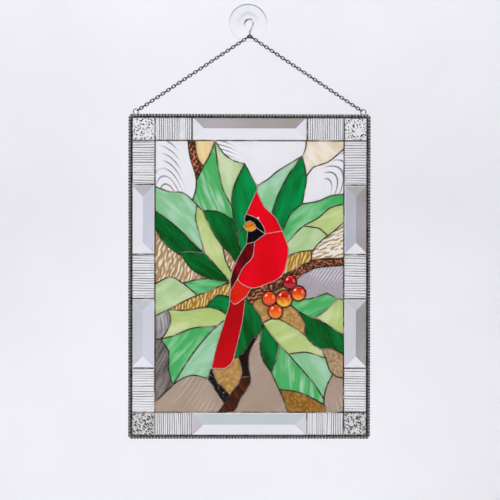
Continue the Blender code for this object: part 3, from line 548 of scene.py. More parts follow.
PANES = [
    Pane("sky_top_left", "clear_top_left", (20, 25), Glass.CLEAR_SWIRL, 12, (14, 62)),
    Pane("sky_top", "clear_top", (115, 15), Glass.CLEAR_SWIRL, 60, (78, 34)),
    Pane("sky_right", "clear_right_upper", (170, 40), Glass.CLEAR_SWIRL, -40, (158, 60)),
    Pane("sky_striped", "clear_right", (170, 140), Glass.CLEAR_STRIPED, -35),
    Pane("ground_oval", "clear_left", (7, 183), Glass.CLEAR_SMOKE, 5),
    Pane("ground_left", "clear_left", (7, 225), Glass.CLEAR_SMOKE_DEEP, -30),
    Pane("ground_low_left", "clear_bottom_left", (35, 255), Glass.CLEAR_TAUPE, -30, (30, 230)),
    Pane("ground_middle", "clear_bottom", (106, 245), Glass.CLEAR_TAUPE, -50, (130, 285)),
    Pane("ground_right", "clear_bottom_right", (181, 255), Glass.CLEAR_TAUPE, 5, (195, 240)),
    Pane("cream_corner", "cream_top_right", (165, 10), Glass.CREAM, 30),
    Pane("cream_ripples", "cream_rippled", (180, 104), Glass.CREAM_RIPPLED, 70),
    Pane("amber_water", "amber_left", (12, 120), Glass.AMBER_WATER, 15),
    Pane("amber_patch", "amber_low_left", (74, 238), Glass.AMBER, 0),
    Pane("black_bark", "amber_low_left", (61, 243), Glass.BLACK_HAMMERED, 0),
    Pane("bark_top", "branch_top", (38, 12), Glass.BARK, 0),
    Pane("yellow_top", "branch_top", (49, 8), Glass.CREAM_YELLOW, 10),
    Pane("branch_right", "branch_across", (165, 122), Glass.BARK, 80),
    Pane("branch_middle", "branch_across", (110, 149), Glass.BARK, 65),
    Pane("amber_by_berries", "branch_across", (129.2, 147.4), Glass.AMBER, 0),
    Pane("amber_over_branch", "branch_across", (145, 117), Glass.AMBER_GOLD, 15),
    Pane("twig_upper", "branch_low", (91, 225), Glass.BROWN, 0),
    Pane("twig_lower", "branch_low", (84, 250), Glass.BROWN_RED, 30),
    Pane("top_leaf_left", "leaf_top_left", (55, 45), Glass.STREAKY_GREEN, 22),
    Pane("top_leaf_right", "leaf_top_left", (74, 40), Glass.PALE_LIME, 12),
    Pane("crest_leaf", "leaves_behind_crest", (88, 55), Glass.SEA_GREEN, 10),
    Pane("crest_leaf_foot", "leaves_behind_crest", (88, 97), Glass.SEA_GREEN, 10),
    Pane("upper_leaf_left", "leaves_behind_crest", (118, 50), Glass.PALE_GREEN, -30),
    Pane("upper_leaf_right", "leaves_behind_crest", (138, 50), Glass.SEA_GREEN, -20),
    Pane("right_leaf_top", "leaf_right", (150, 72), Glass.MID_GREEN, -50),
    Pane("right_leaf_lime", "leaf_right", (175, 78), Glass.LIME, -70),
    Pane("right_leaf_low", "leaf_right", (150, 97), Glass.PALE_LIME, -60),
    Pane("left_leaf_pale", "leaf_left", (22, 68), Glass.PALE_GREEN, 40),
    Pane("left_leaf_dark", "leaf_left", (20, 95), Glass.DEEP_GREEN, 45),
    Pane("left_leaf_low", "leaf_left", (50, 125), Glass.DEEP_GREEN, 60),
    Pane("middle_leaf_lime", "leaf_middle", (55, 100), Glass.LIME, 25),
    Pane("middle_leaf_dark", "leaf_middle", (68, 88), Glass.DEEP_GREEN, 30),
    Pane("amber_sliver", "leaf_middle", (73, 115), Glass.AMBER_WATER, 20),
    Pane("low_leaf_pale", "leaf_pale_left", (12, 155), Glass.PALE_LIME, -60),
    Pane("low_leaf_green", "leaf_pale_left", (45, 146), Glass.MID_GREEN, 80),
    Pane("gold_strip", "leaf_pale_left", (45, 160), Glass.AMBER_GOLD, 10),
    Pane("bud_leaf", "leaf_low_left", (65, 161), Glass.SEA_GREEN, 60),
    Pane("holly_left_lime", "leaf_low_left", (40, 177), Glass.LIME, 85),
    Pane("holly_left_green", "leaf_low_left", (35, 200), Glass.MID_GREEN, -40),
    Pane("holly_left_pale", "leaf_low_left", (50, 215), Glass.PALE_GREEN, -45),
    Pane("holly_right_green", "leaf_low_right", (165, 162), Glass.MID_GREEN, -60),
    Pane("holly_right_lime", "leaf_low_right", (182, 172), Glass.LIME, -30),
    Pane("holly_right_dark", "leaf_low_right", (165, 195), Glass.DEEP_GREEN, 20),
    Pane("amber_pebble", "leaf_low_right", (180, 222), Glass.AMBER_DULL, 0),
    Pane("amber_under_berries", "leaf_low_right", (138, 178), Glass.AMBER, 0),
    Pane("big_leaf_dark", "leaf_big", (115, 205), Glass.DEEP_GREEN, 5),
    Pane("big_leaf_lime", "leaf_big", (140, 200), Glass.LIME, -60),
    Pane("big_leaf_pale", "leaf_big", (155, 225), Glass.PALE_GREEN, 40),
    Pane("big_leaf_streaked", "leaf_big", (138, 235), Glass.STREAKY_GREEN, 0),
    Pane("amber_foot", "leaf_big", (150, 264), Glass.AMBER_DEEP, 0),
    Pane("tail_leaf", "leaf_under_tail", (97, 185), Glass.DEEP_GREEN, 8),
    Pane("amber_by_tail", "leaf_under_tail", (107, 172), Glass.AMBER, 0),
    Pane("crest", "bird_head", (105, 65), Glass.RED, 0),
    Pane("mask", "bird_head", (105, 83), Glass.BLACK, 0),
    Pane("throat", "bird_head", (98, 96), Glass.BLACK, 0),
    Pane("beak", "bird_head", (95, 85), Glass.BEAK, 90),
    Pane("body", "bird_body", (115, 115), Glass.RED, 0),
    Pane("wing", "bird_wing", (85, 122), Glass.WINE, 25),
    Pane("rump", "bird_tail", (80, 150), Glass.SCARLET, 10),
    Pane("tail", "bird_tail", (78, 195), Glass.CRIMSON, 8),
]
BIRD_NODES = ("bird_head", "bird_body", "bird_wing", "bird_tail")

# The solder bead that is the eye, and the painted line on the beak, in squares of the drawing sheet
EYE_SEED = (103.7, 77.2)
BEAK_LINE = ((91.2, 86.4), (93.8, 85.7), (96.6, 84.2), (99.2, 82.4))

# Centre and radius of each berry, in the same squares, and its colours from the foot up
BERRY_PLACES = {
    "berry_top": ((135.7, 141.2), 7.1),
    "berry_right": ((144.2, 152.2), 7.7),
    "berry_middle": ((129.8, 157.7), 8.7),
    "berry_left": ((115.0, 157.6), 7.5),
    "berry_bottom": ((121.2, 170.4), 7.6),
}
BERRY_STOPS = {
    "berry_top": [(0.0, (208, 0, 18)), (0.5, (168, 0, 8)), (1.0, (222, 0, 22))],
    "berry_right": [(0.1, (255, 176, 26)), (0.4, (242, 80, 0)), (0.9, (184, 8, 0))],
    "berry_middle": [
        (0.08, (255, 206, 60)), (0.4, (248, 132, 8)), (0.62, (176, 16, 2)), (0.95, (224, 50, 8)),
    ],
    "berry_left": [(0.1, (232, 60, 0)), (0.6, (250, 84, 0)), (1.0, (192, 20, 0))],
    "berry_bottom": [(0.1, (255, 138, 0)), (0.5, (246, 96, 0)), (1.0, (194, 26, 0))],
}

# Painted reflections on each bevel's facets, a tone for each facet by the way it faces: left, right, top,
# bottom
BEVEL_PAINTED_REFLECTIONS = {
    "bevel_top": ((248, 246, 252), (238, 238, 246), (130, 116, 104), (255, 255, 255)),
    "bevel_bottom": ((176, 168, 166), (206, 206, 210), (172, 188, 182), (246, 246, 250)),
    "bevel_left_upper": ((255, 252, 255), (190, 192, 206), (158, 154, 144), (255, 255, 255)),
    "bevel_left_lower": ((184, 184, 190), (200, 204, 214), (166, 180, 176), (250, 250, 252)),
    "bevel_right_upper": ((166, 168, 178), (122, 110, 108), (146, 148, 132), (255, 255, 255)),
    "bevel_right_lower": ((208, 204, 208), (104, 101, 96), (182, 190, 186), (255, 255, 255)),
}

# Size across, size along and depth of each rolled surface's grain, in mm
GRAINS = {
    Relief.SMOOTH: (14, 14, 0.08),
    Relief.HAMMERED: (3.4, 3.4, 0.3),
    Relief.WATER: (2.4, 7.0, 0.45),
    Relief.BARK: (1.6, 2.6, 0.4),
    Relief.CRYSTAL: (1.7, 3.4, 0.4),
    Relief.REEDED: (8, 40, 0.2),
}

# How far apart the points of a pane may be, and those of a reeded one across and along its reeds
SPACINGS = {
    Relief.SMOOTH: 3.5 * MM,
    Relief.HAMMERED: 0.75 * MM,
    Relief.WATER: 0.75 * MM,
    Relief.BARK: 0.7 * MM,
    Relief.CRYSTAL: 0.5 * MM,
}
REED_SPACING = (0.34 * MM, 1.7 * MM)

# Distance between reeds in mm, in the upright pieces and in the others
REED_PITCH_UPRIGHT = 2.4
REED_PITCH_LEVEL = 2.8


def unselect() -> None:
    """Leave nothing selected, so that operators act on new pieces alone."""
    if bpy.context.object and bpy.context.object.mode != "OBJECT":
        bpy.ops.object.mode_set(mode="OBJECT")
    bpy.ops.object.select_all(action="DESELECT")


def slot_of(node: str) -> str:
    """Return the record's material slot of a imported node."""
    return next(sub["material_slot"] for sub in PACKED["record"]["subparts"] if sub["node"] == node)


def finish_piece(piece: bpy.types.Object, name: str, material: bpy.types.Material, slot: str) -> None:
    """Name a piece, dress it and let it ride on the panel's body.

    Args:
        piece: the object.
        name: its name.
        material: its finish.
        slot: the record's material slot; not used.
    """
    piece.name = name
    piece.data.name = name
    piece.data.materials.clear()
    piece.data.materials.append(material)
    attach(piece, BODY)
    LOG.info("%s: %d faces", name, len(piece.data.polygons))


def mesh_piece(shape: bmesh.types.BMesh, smooth: float | None = 40.0) -> bpy.types.Object:
    """Turn a bmesh into an object at the origin.

    Args:
        shape: the bmesh, freed here.
        smooth: shade smooth below this angle in degrees, or None for flat faces.

    Returns:
        The object.
    """
    mesh = bpy.data.meshes.new("piece")
    shape.to_mesh(mesh)
    shape.free()
    piece = bpy.data.objects.new("piece", mesh)
    bpy.context.scene.collection.objects.link(piece)
    if smooth is not None:
        mesh.shade_smooth()
        mesh.set_sharp_from_angle(angle=math.radians(smooth))
    return piece


def show_alone(name: str, data: bpy.types.ID) -> bpy.types.Object:
    """Put new data in the scene as the one selected object.

    Args:
        name: the object's name.
        data: its mesh or curve.

    Returns:
        The object.
    """
    unselect()
    piece = bpy.data.objects.new(name, data)
    bpy.context.scene.collection.objects.link(piece)
    piece.select_set(True)
    bpy.context.view_layer.objects.active = piece
    return piece


def flat(point: Point, level: float) -> Vector:
    """Return the place in the row's frame of a point of the panel's plane."""
    return Vector((point[0], level, point[1]))


def turn_at(before: Vector, here: Vector, after: Vector) -> float:
    """Return by how much a line turns at a point."""
    return (here - before).angle(after - here, 0.0)


def smooth_run(points: list[Vector], step: float) -> list[Vector]:
    """Return a fine curve through the points of an open run.

    Args:
        points: two or more points.
        step: about how far apart the new points are.

    Returns:
        The new points, ends kept.
    """
    ends = [2 * points[0] - points[1]] + points + [2 * points[-1] - points[-2]]
    curve = [points[0]]
    for before, start, stop, after in zip(ends, ends[1:], ends[2:], ends[3:]):
        span = (stop - start).length
        steps = max(1, round(span / step))
        tangent_in = (stop - before) * (span / max((stop - before).length, WELD))
        tangent_out = (after - start) * (span / max((after - start).length, WELD))
        for index in range(1, steps + 1):
            t = index / steps
            curve.append(
                start * (2 * t ** 3 - 3 * t ** 2 + 1)
                + tangent_in * (t ** 3 - 2 * t ** 2 + t)
                + stop * (3 * t ** 2 - 2 * t ** 3)
                + tangent_out * (t ** 3 - t ** 2)
            )
    return curve


def smooth_loop(loop: list[Vector], step: float) -> list[Vector]:
    """Return a fine curve round a closed loop, with its corners kept.

    Args:
        loop: the loop's points, the first not repeated.
        step: about how far apart the new points are.

    Returns:
        The new points, the first not repeated.
    """
    count = len(loop)
    corners = [
        index for index in range(count)
        if turn_at(loop[index - 1], loop[index], loop[(index + 1) % count]) > CORNER_TURN
    ]
    if not corners:
        curve = smooth_run([loop[index % count] for index in range(-2, count + 3)], step)
        passes = [index for index, point in enumerate(curve) if (point - loop[0]).length < WELD]
        return curve[passes[0]:passes[-1]]
    result = []
    for here, there in zip(corners, corners[1:] + [corners[0] + count]):
        run = [loop[index % count] for index in range(here, there + 1)]
        result += smooth_run(run, step)[:-1]
    return result


def signed_area(loop: list[Vector]) -> float:
    """Return the area inside a loop, positive where it runs anticlockwise."""
    pairs = zip(loop, loop[1:] + loop[:1])
    return sum(here[0] * there[1] - there[0] * here[1] for here, there in pairs) / 2


def contains(loop: np.ndarray, points: np.ndarray) -> np.ndarray:
    """Say which points are inside a loop.

    Args:
        loop: corners, one row each.
        points: points, one row each.

    Returns:
        True or False for each point.
    """
    found = np.zeros(len(points), bool)
    for here, there in zip(loop, np.roll(loop, -1, axis=0)):
        if here[1] == there[1]:
            continue
        crossing = (here[1] > points[:, 1]) != (there[1] > points[:, 1])
        share = (points[:, 1] - here[1]) / (there[1] - here[1])
        found ^= crossing & (points[:, 0] < here[0] + share * (there[0] - here[0]))
    return found


def grow(loop: list[Vector], distance: float) -> list[Vector]:
    """Move an anticlockwise loop outwards, each corner along its bisector.

    Args:
        loop: the loop's points.
        distance: how far its sides move.

    Returns:
        The moved points.
    """
    result = []
    for before, here, after in zip(loop[-1:] + loop[:-1], loop, loop[1:] + loop[:1]):
        arriving, leaving = (here - before).normalized(), (after - here).normalized()
        along = arriving + leaving
        outwards = Vector((along[1], -along[0])).normalized()
        across = Vector((leaving[1], -leaving[0]))
        result.append(here + outwards * distance / max(0.45, outwards.dot(across)))
    return result


@dataclass
class PanelPlan:
    """The windows and lines of the panel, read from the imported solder.

    Attributes:
        solder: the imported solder.
        low, high: the corners of its box.
        plane: the panel's middle plane along Y.
        ridge: how far the solder stands from that plane.
        windows: the openings for glass, each an anticlockwise loop in X and Z.
        lines: the solder lines between junctions and corners.
        patches: the triangles of solder between lines that run together.
        junctions: where lines meet or turn.
    """

    solder: bpy.types.Object
    low: Vector = field(init=False)
    high: Vector = field(init=False)
    plane: float = field(init=False)
    ridge: float = field(init=False)
    windows: list[list[Vector]] = field(default_factory=list)
    lines: list[list[Vector]] = field(default_factory=list)
    patches: list[list[Vector]] = field(default_factory=list)
    junctions: list[Vector] = field(default_factory=list)

    def __post_init__(self) -> None:
        """Read the front of the solder."""
        self.low, self.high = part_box(self.solder.name)
        self.plane = (self.low[1] + self.high[1]) / 2
        self.ridge = (self.high[1] - self.low[1]) / 2
        places: dict[Key, Vector] = {}
        window_steps: dict[Key, Key] = {}
        ridge_steps: set[frozenset] = set()
        vertices = self.solder.data.vertices
        for polygon in self.solder.data.polygons:
            corners = [vertices[index].co for index in polygon.vertices]
            kinds = [self.kind(corner) for corner in corners]
            if "other" in kinds:
                continue
            keys = [(round(corner[0] / WELD), round(corner[2] / WELD)) for corner in corners]
            for key, corner in zip(keys, corners):
                places.setdefault(key, Vector((corner[0], corner[2])))
            if kinds.count("ridge") == 3:
                self.patches.append([places[key] for key in keys])
            for index in range(3):
                following = (index + 1) % 3
                pair = (kinds[index], kinds[following])
                mixed = "ridge" in kinds and "lip" in kinds
                if pair == ("lip", "lip") and mixed:
                    window_steps[keys[index]] = keys[following]
                if pair == ("ridge", "ridge") and mixed:
                    ridge_steps.add(frozenset((keys[index], keys[following])))
        self.read_windows(places, window_steps)
        self.read_lines(places, ridge_steps)

    def kind(self, corner: Vector) -> str:
        """Say whether a corner is on the front's ridge or lip.

        Args:
            corner: the corner's place.

        Returns:
            One of ridge, lip and other.
        """
        away = self.plane - corner[1]
        if abs(away - self.ridge) < WELD:
            return "ridge"
        if abs(away - self.ridge + BEAD_HEIGHT) < WELD:
            return "lip"
        return "other"

    def read_windows(self, places: dict[Key, Vector], steps: dict[Key, Key]) -> None:
        """Follow the edges of the windows round.

        Args:
            places: the place of each corner.
            steps: the corner that follows each corner on a window's edge.
        """
        left = dict(steps)
        while left:
            here, loop = next(iter(left)), []
            while here in left:
                loop.append(places[here])
                here = left.pop(here)
            if len(loop) > 2:
                if signed_area(loop) < 0:
                    loop.reverse()
                self.windows.append(loop)

    def read_lines(self, places: dict[Key, Vector], steps: set[frozenset]) -> None:
        """Cut the ridge lines into runs between junctions and corners.

        Args:
            places: the place of each corner.
            steps: the pairs of corners that ridge lines join.
        """
        beside: dict[Key, list[Key]] = {}
        for step in steps:
            here, there = tuple(step)
            beside.setdefault(here, []).append(there)
            beside.setdefault(there, []).append(here)
        ends = set()
        for here, others in beside.items():
            plain = len(others) == 2
            if not plain or turn_at(places[others[0]], places[here], places[others[1]]) > CORNER_TURN:
                ends.add(here)
        used = set()
        for start in sorted(ends) + sorted(set(beside) - ends):
            for following in sorted(beside[start]):
                if frozenset((start, following)) in used:
                    continue
                run, here, there = [start], start, following
                while True:
                    used.add(frozenset((here, there)))
                    run.append(there)
                    if there in ends or there == start:
                        break
                    onward = [other for other in beside[there] if other != here]
                    here, there = there, onward[0]
                self.lines.append([places[key] for key in run])
        self.junctions = [places[key] for key in sorted(ends)]

    def on_panel(self, square: Point) -> Vector:
        """Return the place in X and Z of a point of the drawing sheet.

        Args:
            square: the point, in squares from the sheet's top left.

        Returns:
            The place.
        """
        left, right = self.low[0] + BORDER_WIDTH, self.high[0] - BORDER_WIDTH
        bottom, top = self.low[2] + BORDER_WIDTH, self.high[2] - BORDER_WIDTH
        return Vector((
            left + (right - left) * square[0] / SHEET_WIDTH,
            top - (top - bottom) * square[1] / SHEET_HEIGHT,
        ))

    def window_at(self, place: Vector) -> list[Vector]:
        """Return the window round a place.

        Args:
            place: a point in X and Z.

        Returns:
            The window's loop, the smallest one where several hold the place.

        Raises:
            ValueError: if no window holds it.
        """
        point = np.array([[place[0], place[1]]])
        found = [loop for loop in self.windows if contains(np.array([tuple(p) for p in loop]), point)[0]]
        if not found:
            raise ValueError(f"no window at {tuple(place)}")
        return min(found, key=signed_area)


@dataclass(frozen=True)
class Surface:
    """The relief of one pane, worked out at any point of it.

    Attributes:
        kind: which relief.
        turn: its direction, in degrees from upright.
        shift: moves the relief, so that no two panes are alike.
    """

    kind: Relief
    turn: float
    shift: float

    def spacing(self) -> Point:
        """Return how far apart the mesh's points may be, along X and along Z.

        Returns:
            The two distances.
        """
        if self.kind is Relief.REEDED:
            return REED_SPACING if self.turn == 0 else REED_SPACING[::-1]
        return SPACINGS[self.kind], SPACINGS[self.kind]

    def at(self, x: float, z: float) -> tuple[float, float]:
        """Return the height of the glass and the mark that its texture leaves there, which on water glass is
        a painted glint where the ripples slope one way.

        Args:
            x, z: the place, in metres.

        Returns:
            Height in metres, and a mark of about 0 to 1.
        """
        wide, long, depth = GRAINS[self.kind]
        angle = math.radians(self.turn)
        across = (x * math.cos(angle) - z * math.sin(angle)) / MM
        along = (x * math.sin(angle) + z * math.cos(angle)) / MM
        if self.kind is Relief.HAMMERED:
            near = noise.voronoi(Vector((x / (wide * MM), self.shift, z / (long * MM))))[0][0]
            return -depth * MM * near, 0.9 - 0.8 * near
        if self.kind is Relief.WATER:
            # Painted glint: the mark is brightest where the ripple's slope faces one way.
            here = noise.noise(Vector((across / wide, along / long, self.shift)))
            there = noise.noise(Vector(((across + 0.7) / wide, along / long, self.shift)))
            return depth * MM * here, 0.45 + 2.2 * (here - there) + 0.3 * here
        if self.kind is Relief.BARK:
            grain = noise.noise(Vector((across / wide, along / long, self.shift)))
            return depth * MM * grain, 0.5 + 0.9 * grain
        if self.kind is Relief.CRYSTAL:
            grain = noise.noise(Vector(((x + z) / (wide * MM), self.shift, (x - z) / (long * MM))))
            fine = noise.noise(Vector((x / (0.8 * MM), self.shift, z / (0.8 * MM))))
            return depth * MM * grain, 0.5 + 0.9 * grain + 0.3 * fine
        if self.kind is Relief.REEDED:
            pitch = REED_PITCH_UPRIGHT if self.turn == 0 else REED_PITCH_LEVEL
            bend = 0.4 * noise.noise(Vector((across / wide, along / long, self.shift)))
            edge = math.cos(2 * math.pi * (across / pitch + bend))
            strength = 0.85 + 0.7 * noise.noise(Vector((across / 3, along / 60, self.shift + 9)))
            return depth * MM * edge, max(0.0, edge) ** 1.6 * max(0.4, min(1.0, strength))
        rolling = noise.noise(Vector((x / (wide * MM), self.shift, z / (long * MM))))
        return depth * MM * rolling, 0.5


class PaneCutter:
    """Cuts panes of glass from loops, with relief on the front."""

    def __init__(self, plan: PanelPlan) -> None:
        """Keep the panel's plan."""
        self.plan = plan

    def cut(self, window: list[Vector], surface: Surface) -> bpy.types.Object:
        """Cut one pane, a little larger than its window.

        Args:
            window: the solder's opening.
            surface: the relief of the front.

        Returns:
            The pane, a closed mesh with a mark on each of its points.
        """
        spacing = surface.spacing()
        loop = grow(smooth_loop(window, min(*spacing, CURVE_STEP)), PANE_REACH)
        points = [Vector(point) for point in loop] + self.fill(loop, *spacing)
        borders = [(index, (index + 1) % len(loop)) for index in range(len(loop))]
        places, _, faces, _, _, _ = delaunay_2d_cdt(points, borders, [], 1, 1e-7)
        relief = [surface.at(*place) for place in places]
        front_level = self.plan.plane - GLASS_THICKNESS / 2
        back_level = self.plan.plane + GLASS_THICKNESS / 2
        shape = bmesh.new()
        mark = shape.verts.layers.float.new("mark")
        front = [
            shape.verts.new(flat(place, front_level - height)) for place, (height, _) in zip(places, relief)
        ]
        back = [shape.verts.new(flat(place, back_level)) for place in places]
        for corners in (front, back):
            for corner, (_, value) in zip(corners, relief):
                corner[mark] = value
        for face in faces:
            shape.faces.new([front[index] for index in face])
            shape.faces.new([back[index] for index in reversed(face)])
        rim = [edge for edge in shape.edges if len(edge.link_faces) == 1]
        bmesh.ops.bridge_loops(shape, edges=rim)
        bmesh.ops.recalc_face_normals(shape, faces=shape.faces)
        return mesh_piece(shape, 50.0)

    def fill(self, loop: list[Vector], across: float, up: float) -> list[Vector]:
        """Return staggered points inside a loop, clear of its edge.

        Args:
            loop: the edge.
            across, up: how far apart the points are along X and along Z.

        Returns:
            The points.
        """
        edge = np.array([tuple(point) for point in loop])
        low, high = edge.min(0), edge.max(0)
        rows = []
        for number, height in enumerate(np.arange(low[1] + up / 2, high[1], up * 0.9)):
            start = low[0] + across * (0.5 if number % 2 else 1.0)
            rows += [(place, height) for place in np.arange(start, high[0], across)]
        if not rows:
            return []
        grid = np.array(rows)
        grid = grid[contains(edge, grid)]
        clear = np.ones(len(grid), bool)
        for here, there in zip(edge, np.roll(edge, -1, axis=0)):
            along = there - here
            share = np.clip(((grid - here) @ along) / max(along @ along, 1e-12), 0, 1)
            foot = here + share[:, None] * along
            clear &= np.linalg.norm(grid - foot, axis=1) > 0.45 * min(across, up)
        return [Vector(point) for point in grid[clear]]


@dataclass
class Picture:
    """The panes of the bird and its branch."""

    plan: PanelPlan
    cutter: PaneCutter

    def build(self) -> None:
        """Cut and dress every pane."""
        for number, pane in enumerate(PANES):
            window = self.plan.window_at(self.plan.on_panel(pane.seed))
            shift = PICTURE_SHIFT * (number + 1)
            piece = self.cutter.cut(window, Surface(pane.glass.value.relief, pane.turn, shift))
            centre = flat(self.plan.on_panel(pane.swirl), 0.0) if pane.swirl else None
            material = pane.glass.value.dress(f"glass_{pane.name}", pane.turn, shift, centre)
            finish_piece(piece, f"pane_{pane.name}", material, slot_of(pane.node))
            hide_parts(pane.node)


@dataclass(frozen=True)
class ClearFinish:
    """Clear glass or plastic, with plain values on the shader.

    Attributes:
        tint: colour of the body.
        dark: colour of the flanks of its texture.
        low, high: where the texture's mark turns from one to the other.
        roughness: how much the surface scatters.
    """

    tint: Colour
    dark: Colour
    low: float = 0.0
    high: float = 1.0
    roughness: float = 0.06

    def dress(self, name: str) -> bpy.types.Material:
        """Make the material.

        Args:
            name: the material's name.

        Returns:
            The material.
        """
        network = Network(name)
        share = network.level(network.attribute("mark"), self.low, self.high)
        network.set(
            Base_Color=network.blend(share, self.tint, self.dark),
            Roughness=self.roughness,
            Transmission_Weight=0.88,
            IOR=1.4,
            Coat_Weight=0.2,
            Coat_Roughness=0.05,
        )
        fine = network.noise(network.place(0, 500.0), 2.0)
        network.bump(fine, 0.05 * MM)
        return network.material


@dataclass
class Border:
    """The clear border: crystal corners, reeded pieces and bevels."""

    plan: PanelPlan
    cutter: PaneCutter
    reeded: ClearFinish = ClearFinish(srgb(250, 250, 250), srgb(132, 132, 138), 0.1, 0.9)
    crystal: ClearFinish = ClearFinish(srgb(255, 255, 255), srgb(72, 70, 72), 0.56, 0.9)
    # Painted shade: the bottom corners are greyer and darker, for the darker ground seen through them.
    crystal_ground_shaded: ClearFinish = ClearFinish(srgb(232, 231, 230), srgb(84, 82, 82), 0.36, 0.86)

    def build(self) -> None:
        """Make every piece of the border."""
        for number, node in enumerate(sorted(PACKED["nodes"])):
            shift = BORDER_SHIFT * (number + 1)
            if node.startswith("corner_"):
                finish = self.crystal_ground_shaded if "_bottom_" in node else self.crystal
                self.relief_piece(node, Surface(Relief.CRYSTAL, 0, shift), finish)
            elif node.startswith("reeded_"):
                upright = "_top_" in node or "_bottom_" in node
                self.relief_piece(node, Surface(Relief.REEDED, 0 if upright else 90, shift), self.reeded)
            elif node.startswith("bevel_"):
                self.dress_bevel(node)

    def relief_piece(self, node: str, surface: Surface, finish: ClearFinish) -> None:
        """Replace one flat piece by one with relief.

        Args:
            node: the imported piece.
            surface: the relief.
            finish: its glass.
        """
        low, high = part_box(node)
        middle = Vector(((low[0] + high[0]) / 2, (low[2] + high[2]) / 2))
        piece = self.cutter.cut(self.plan.window_at(middle), surface)
        finish_piece(piece, f"glass_{node}", finish.dress(f"clear_{node}"), slot_of(node))
        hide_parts(node)

    def dress_bevel(self, node: str) -> None:
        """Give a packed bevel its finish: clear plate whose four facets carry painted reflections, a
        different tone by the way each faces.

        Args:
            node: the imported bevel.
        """
        network = Network(f"clear_{node}")
        coordinates = network.node("TexCoord")
        parts = network.node("SeparateXYZ", None, {0: Wave(network, coordinates.outputs["Normal"])})
        colour: Wave | Colour = srgb(246, 246, 252)
        facets = (("X", -1), ("X", 1), ("Z", 1), ("Z", -1))
        # Painted reflection: each facet takes its tone from the way its normal faces.
        for (axis, sign), painted_reflection in zip(facets, BEVEL_PAINTED_REFLECTIONS[node]):
            facing = Wave(network, parts.outputs[axis]) * sign
            colour = network.blend(network.level(facing, 0.1, 0.14), colour, srgb(*painted_reflection))
        soft = network.noise(network.place(0, 14.0), 1.0)
        network.set(
            Base_Color=network.blend(network.level(soft, 0.3, 0.8) * 0.2, colour, srgb(240, 240, 246)),
            Roughness=0.03,
            Transmission_Weight=0.94,
            IOR=1.3,
            Coat_Weight=0.1,
        )
        piece = PACKED["nodes"][node]
        piece.data.materials.clear()
        piece.data.materials.append(network.material)
        LOG.info("%s dressed", node)


@dataclass
class Berries:
    """The five cast berries.

    Attributes:
        plan: the panel's plan.
        rise: how far a dome stands in front of its glass.
        rear: how deep its flatter back is.
        segments, rings: parts of a dome round and across.
    """

    plan: PanelPlan
    rise: float = 3.4 * MM
    rear: float = 1.6 * MM
    segments: int = 40
    rings: int = 24

    def build(self) -> None:
        """Cast every berry."""
        square = (self.plan.on_panel((1, 0)) - self.plan.on_panel((0, 0))).length
        for number, (node, (place, squares)) in enumerate(BERRY_PLACES.items()):
            centre, radius = self.plan.on_panel(place), squares * square
            piece = self.cast(centre, radius)
            finish_piece(piece, f"cast_{node}", self.dress(node, centre, radius, number), slot_of(node))
            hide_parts(node)

    def cast(self, centre: Vector, radius: float) -> bpy.types.Object:
        """Round a sphere into a dome with a flatter back.

        Args:
            centre: the berry's middle in X and Z.
            radius: its radius.

        Returns:
            The berry.
        """
        unselect()
        bpy.ops.mesh.primitive_uv_sphere_add(
            segments=self.segments, ring_count=self.rings, radius=radius
        )
        piece = bpy.context.object
        front = self.plan.plane - GLASS_THICKNESS / 2
        for vertex in piece.data.vertices:
            share = vertex.co[1] / radius
            depth = self.rise + GLASS_THICKNESS / 2 if share < 0 else self.rear
            vertex.co[1] = share * depth
        piece.location = flat(centre, front + GLASS_THICKNESS / 2)
        bpy.ops.object.transform_apply(location=True, rotation=False, scale=False)
        piece.data.shade_smooth()
        return piece

    def dress(self, node: str, centre: Vector, radius: float, number: int) -> bpy.types.Material:
        """Colour a berry: red at the top, orange or yellow at the foot, darker veins inside.

        Args:
            node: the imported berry.
            centre, radius: as in cast.
            number: moves the veins, so that no two berries are alike.

        Returns:
            The material.
        """
        network = Network(f"glass_{node}")
        parts = network.node("SeparateXYZ", None, {0: network.place()})
        height = (Wave(network, parts.outputs["Z"]) - (centre[1] - radius)) * (0.5 / radius)
        veins = network.noise(network.place(15, (330.0, 330.0, 120.0), (number * 3.0, 0.0, 0.0)), 2.0, 1.2)
        stops = [(place, srgb(*colour)) for place, colour in BERRY_STOPS[node]]
        network.set(
            Base_Color=network.ramp(height + (veins - 0.5) * 0.6, stops),
            Roughness=0.12,
            Transmission_Weight=0.12,
            IOR=1.5,
            Specular_IOR_Level=0.3,
            Coat_Weight=0.5,
            Coat_Roughness=0.03,
        )
        return network.material


@dataclass(frozen=True)
class Metal:
    """A metal finish with darker and brighter patches.

    Attributes:
        dark, bright: colours of the patches.
        roughness: the mean roughness.
        grain: patches per metre.
        metallic: how much it is a bare metal.
        brightening_and_glint_colour: colour of the brightened places, and of the rope's painted glints.
    """

    dark: Colour
    bright: Colour
    roughness: float
    grain: float
    metallic: float = 1.0
    brightening_and_glint_colour: Colour = srgb(236, 216, 208)

    def dress(self, name: str, polish: bool = False) -> bpy.types.Material:
        """Make the material.

        Args:
            name: the material's name.
            polish: whether the mesh's stored brightening, which holds the rope's painted glints, brightens
                it.

        Returns:
            The material.
        """
        network = Network(name)
        place = network.place(0, self.grain)
        patches = network.level(network.noise(place, 4.0, 0.4), 0.35, 0.7)
        colour = network.blend(patches, self.dark, self.bright)
        if polish:
            # Brightened places and painted glints: the stored value mixes in the paler colour.
            shine = network.level(network.attribute("polish"), 0.1, 0.9)
            colour = network.blend(shine, colour, self.brightening_and_glint_colour)
        network.set(
            Base_Color=colour,
            Metallic=self.metallic,
            Roughness=patches * 0.18 + (self.roughness - 0.09),
        )
        network.bump(network.noise(network.place(0, 900.0), 3.0), 0.12 * MM)
        return network.material


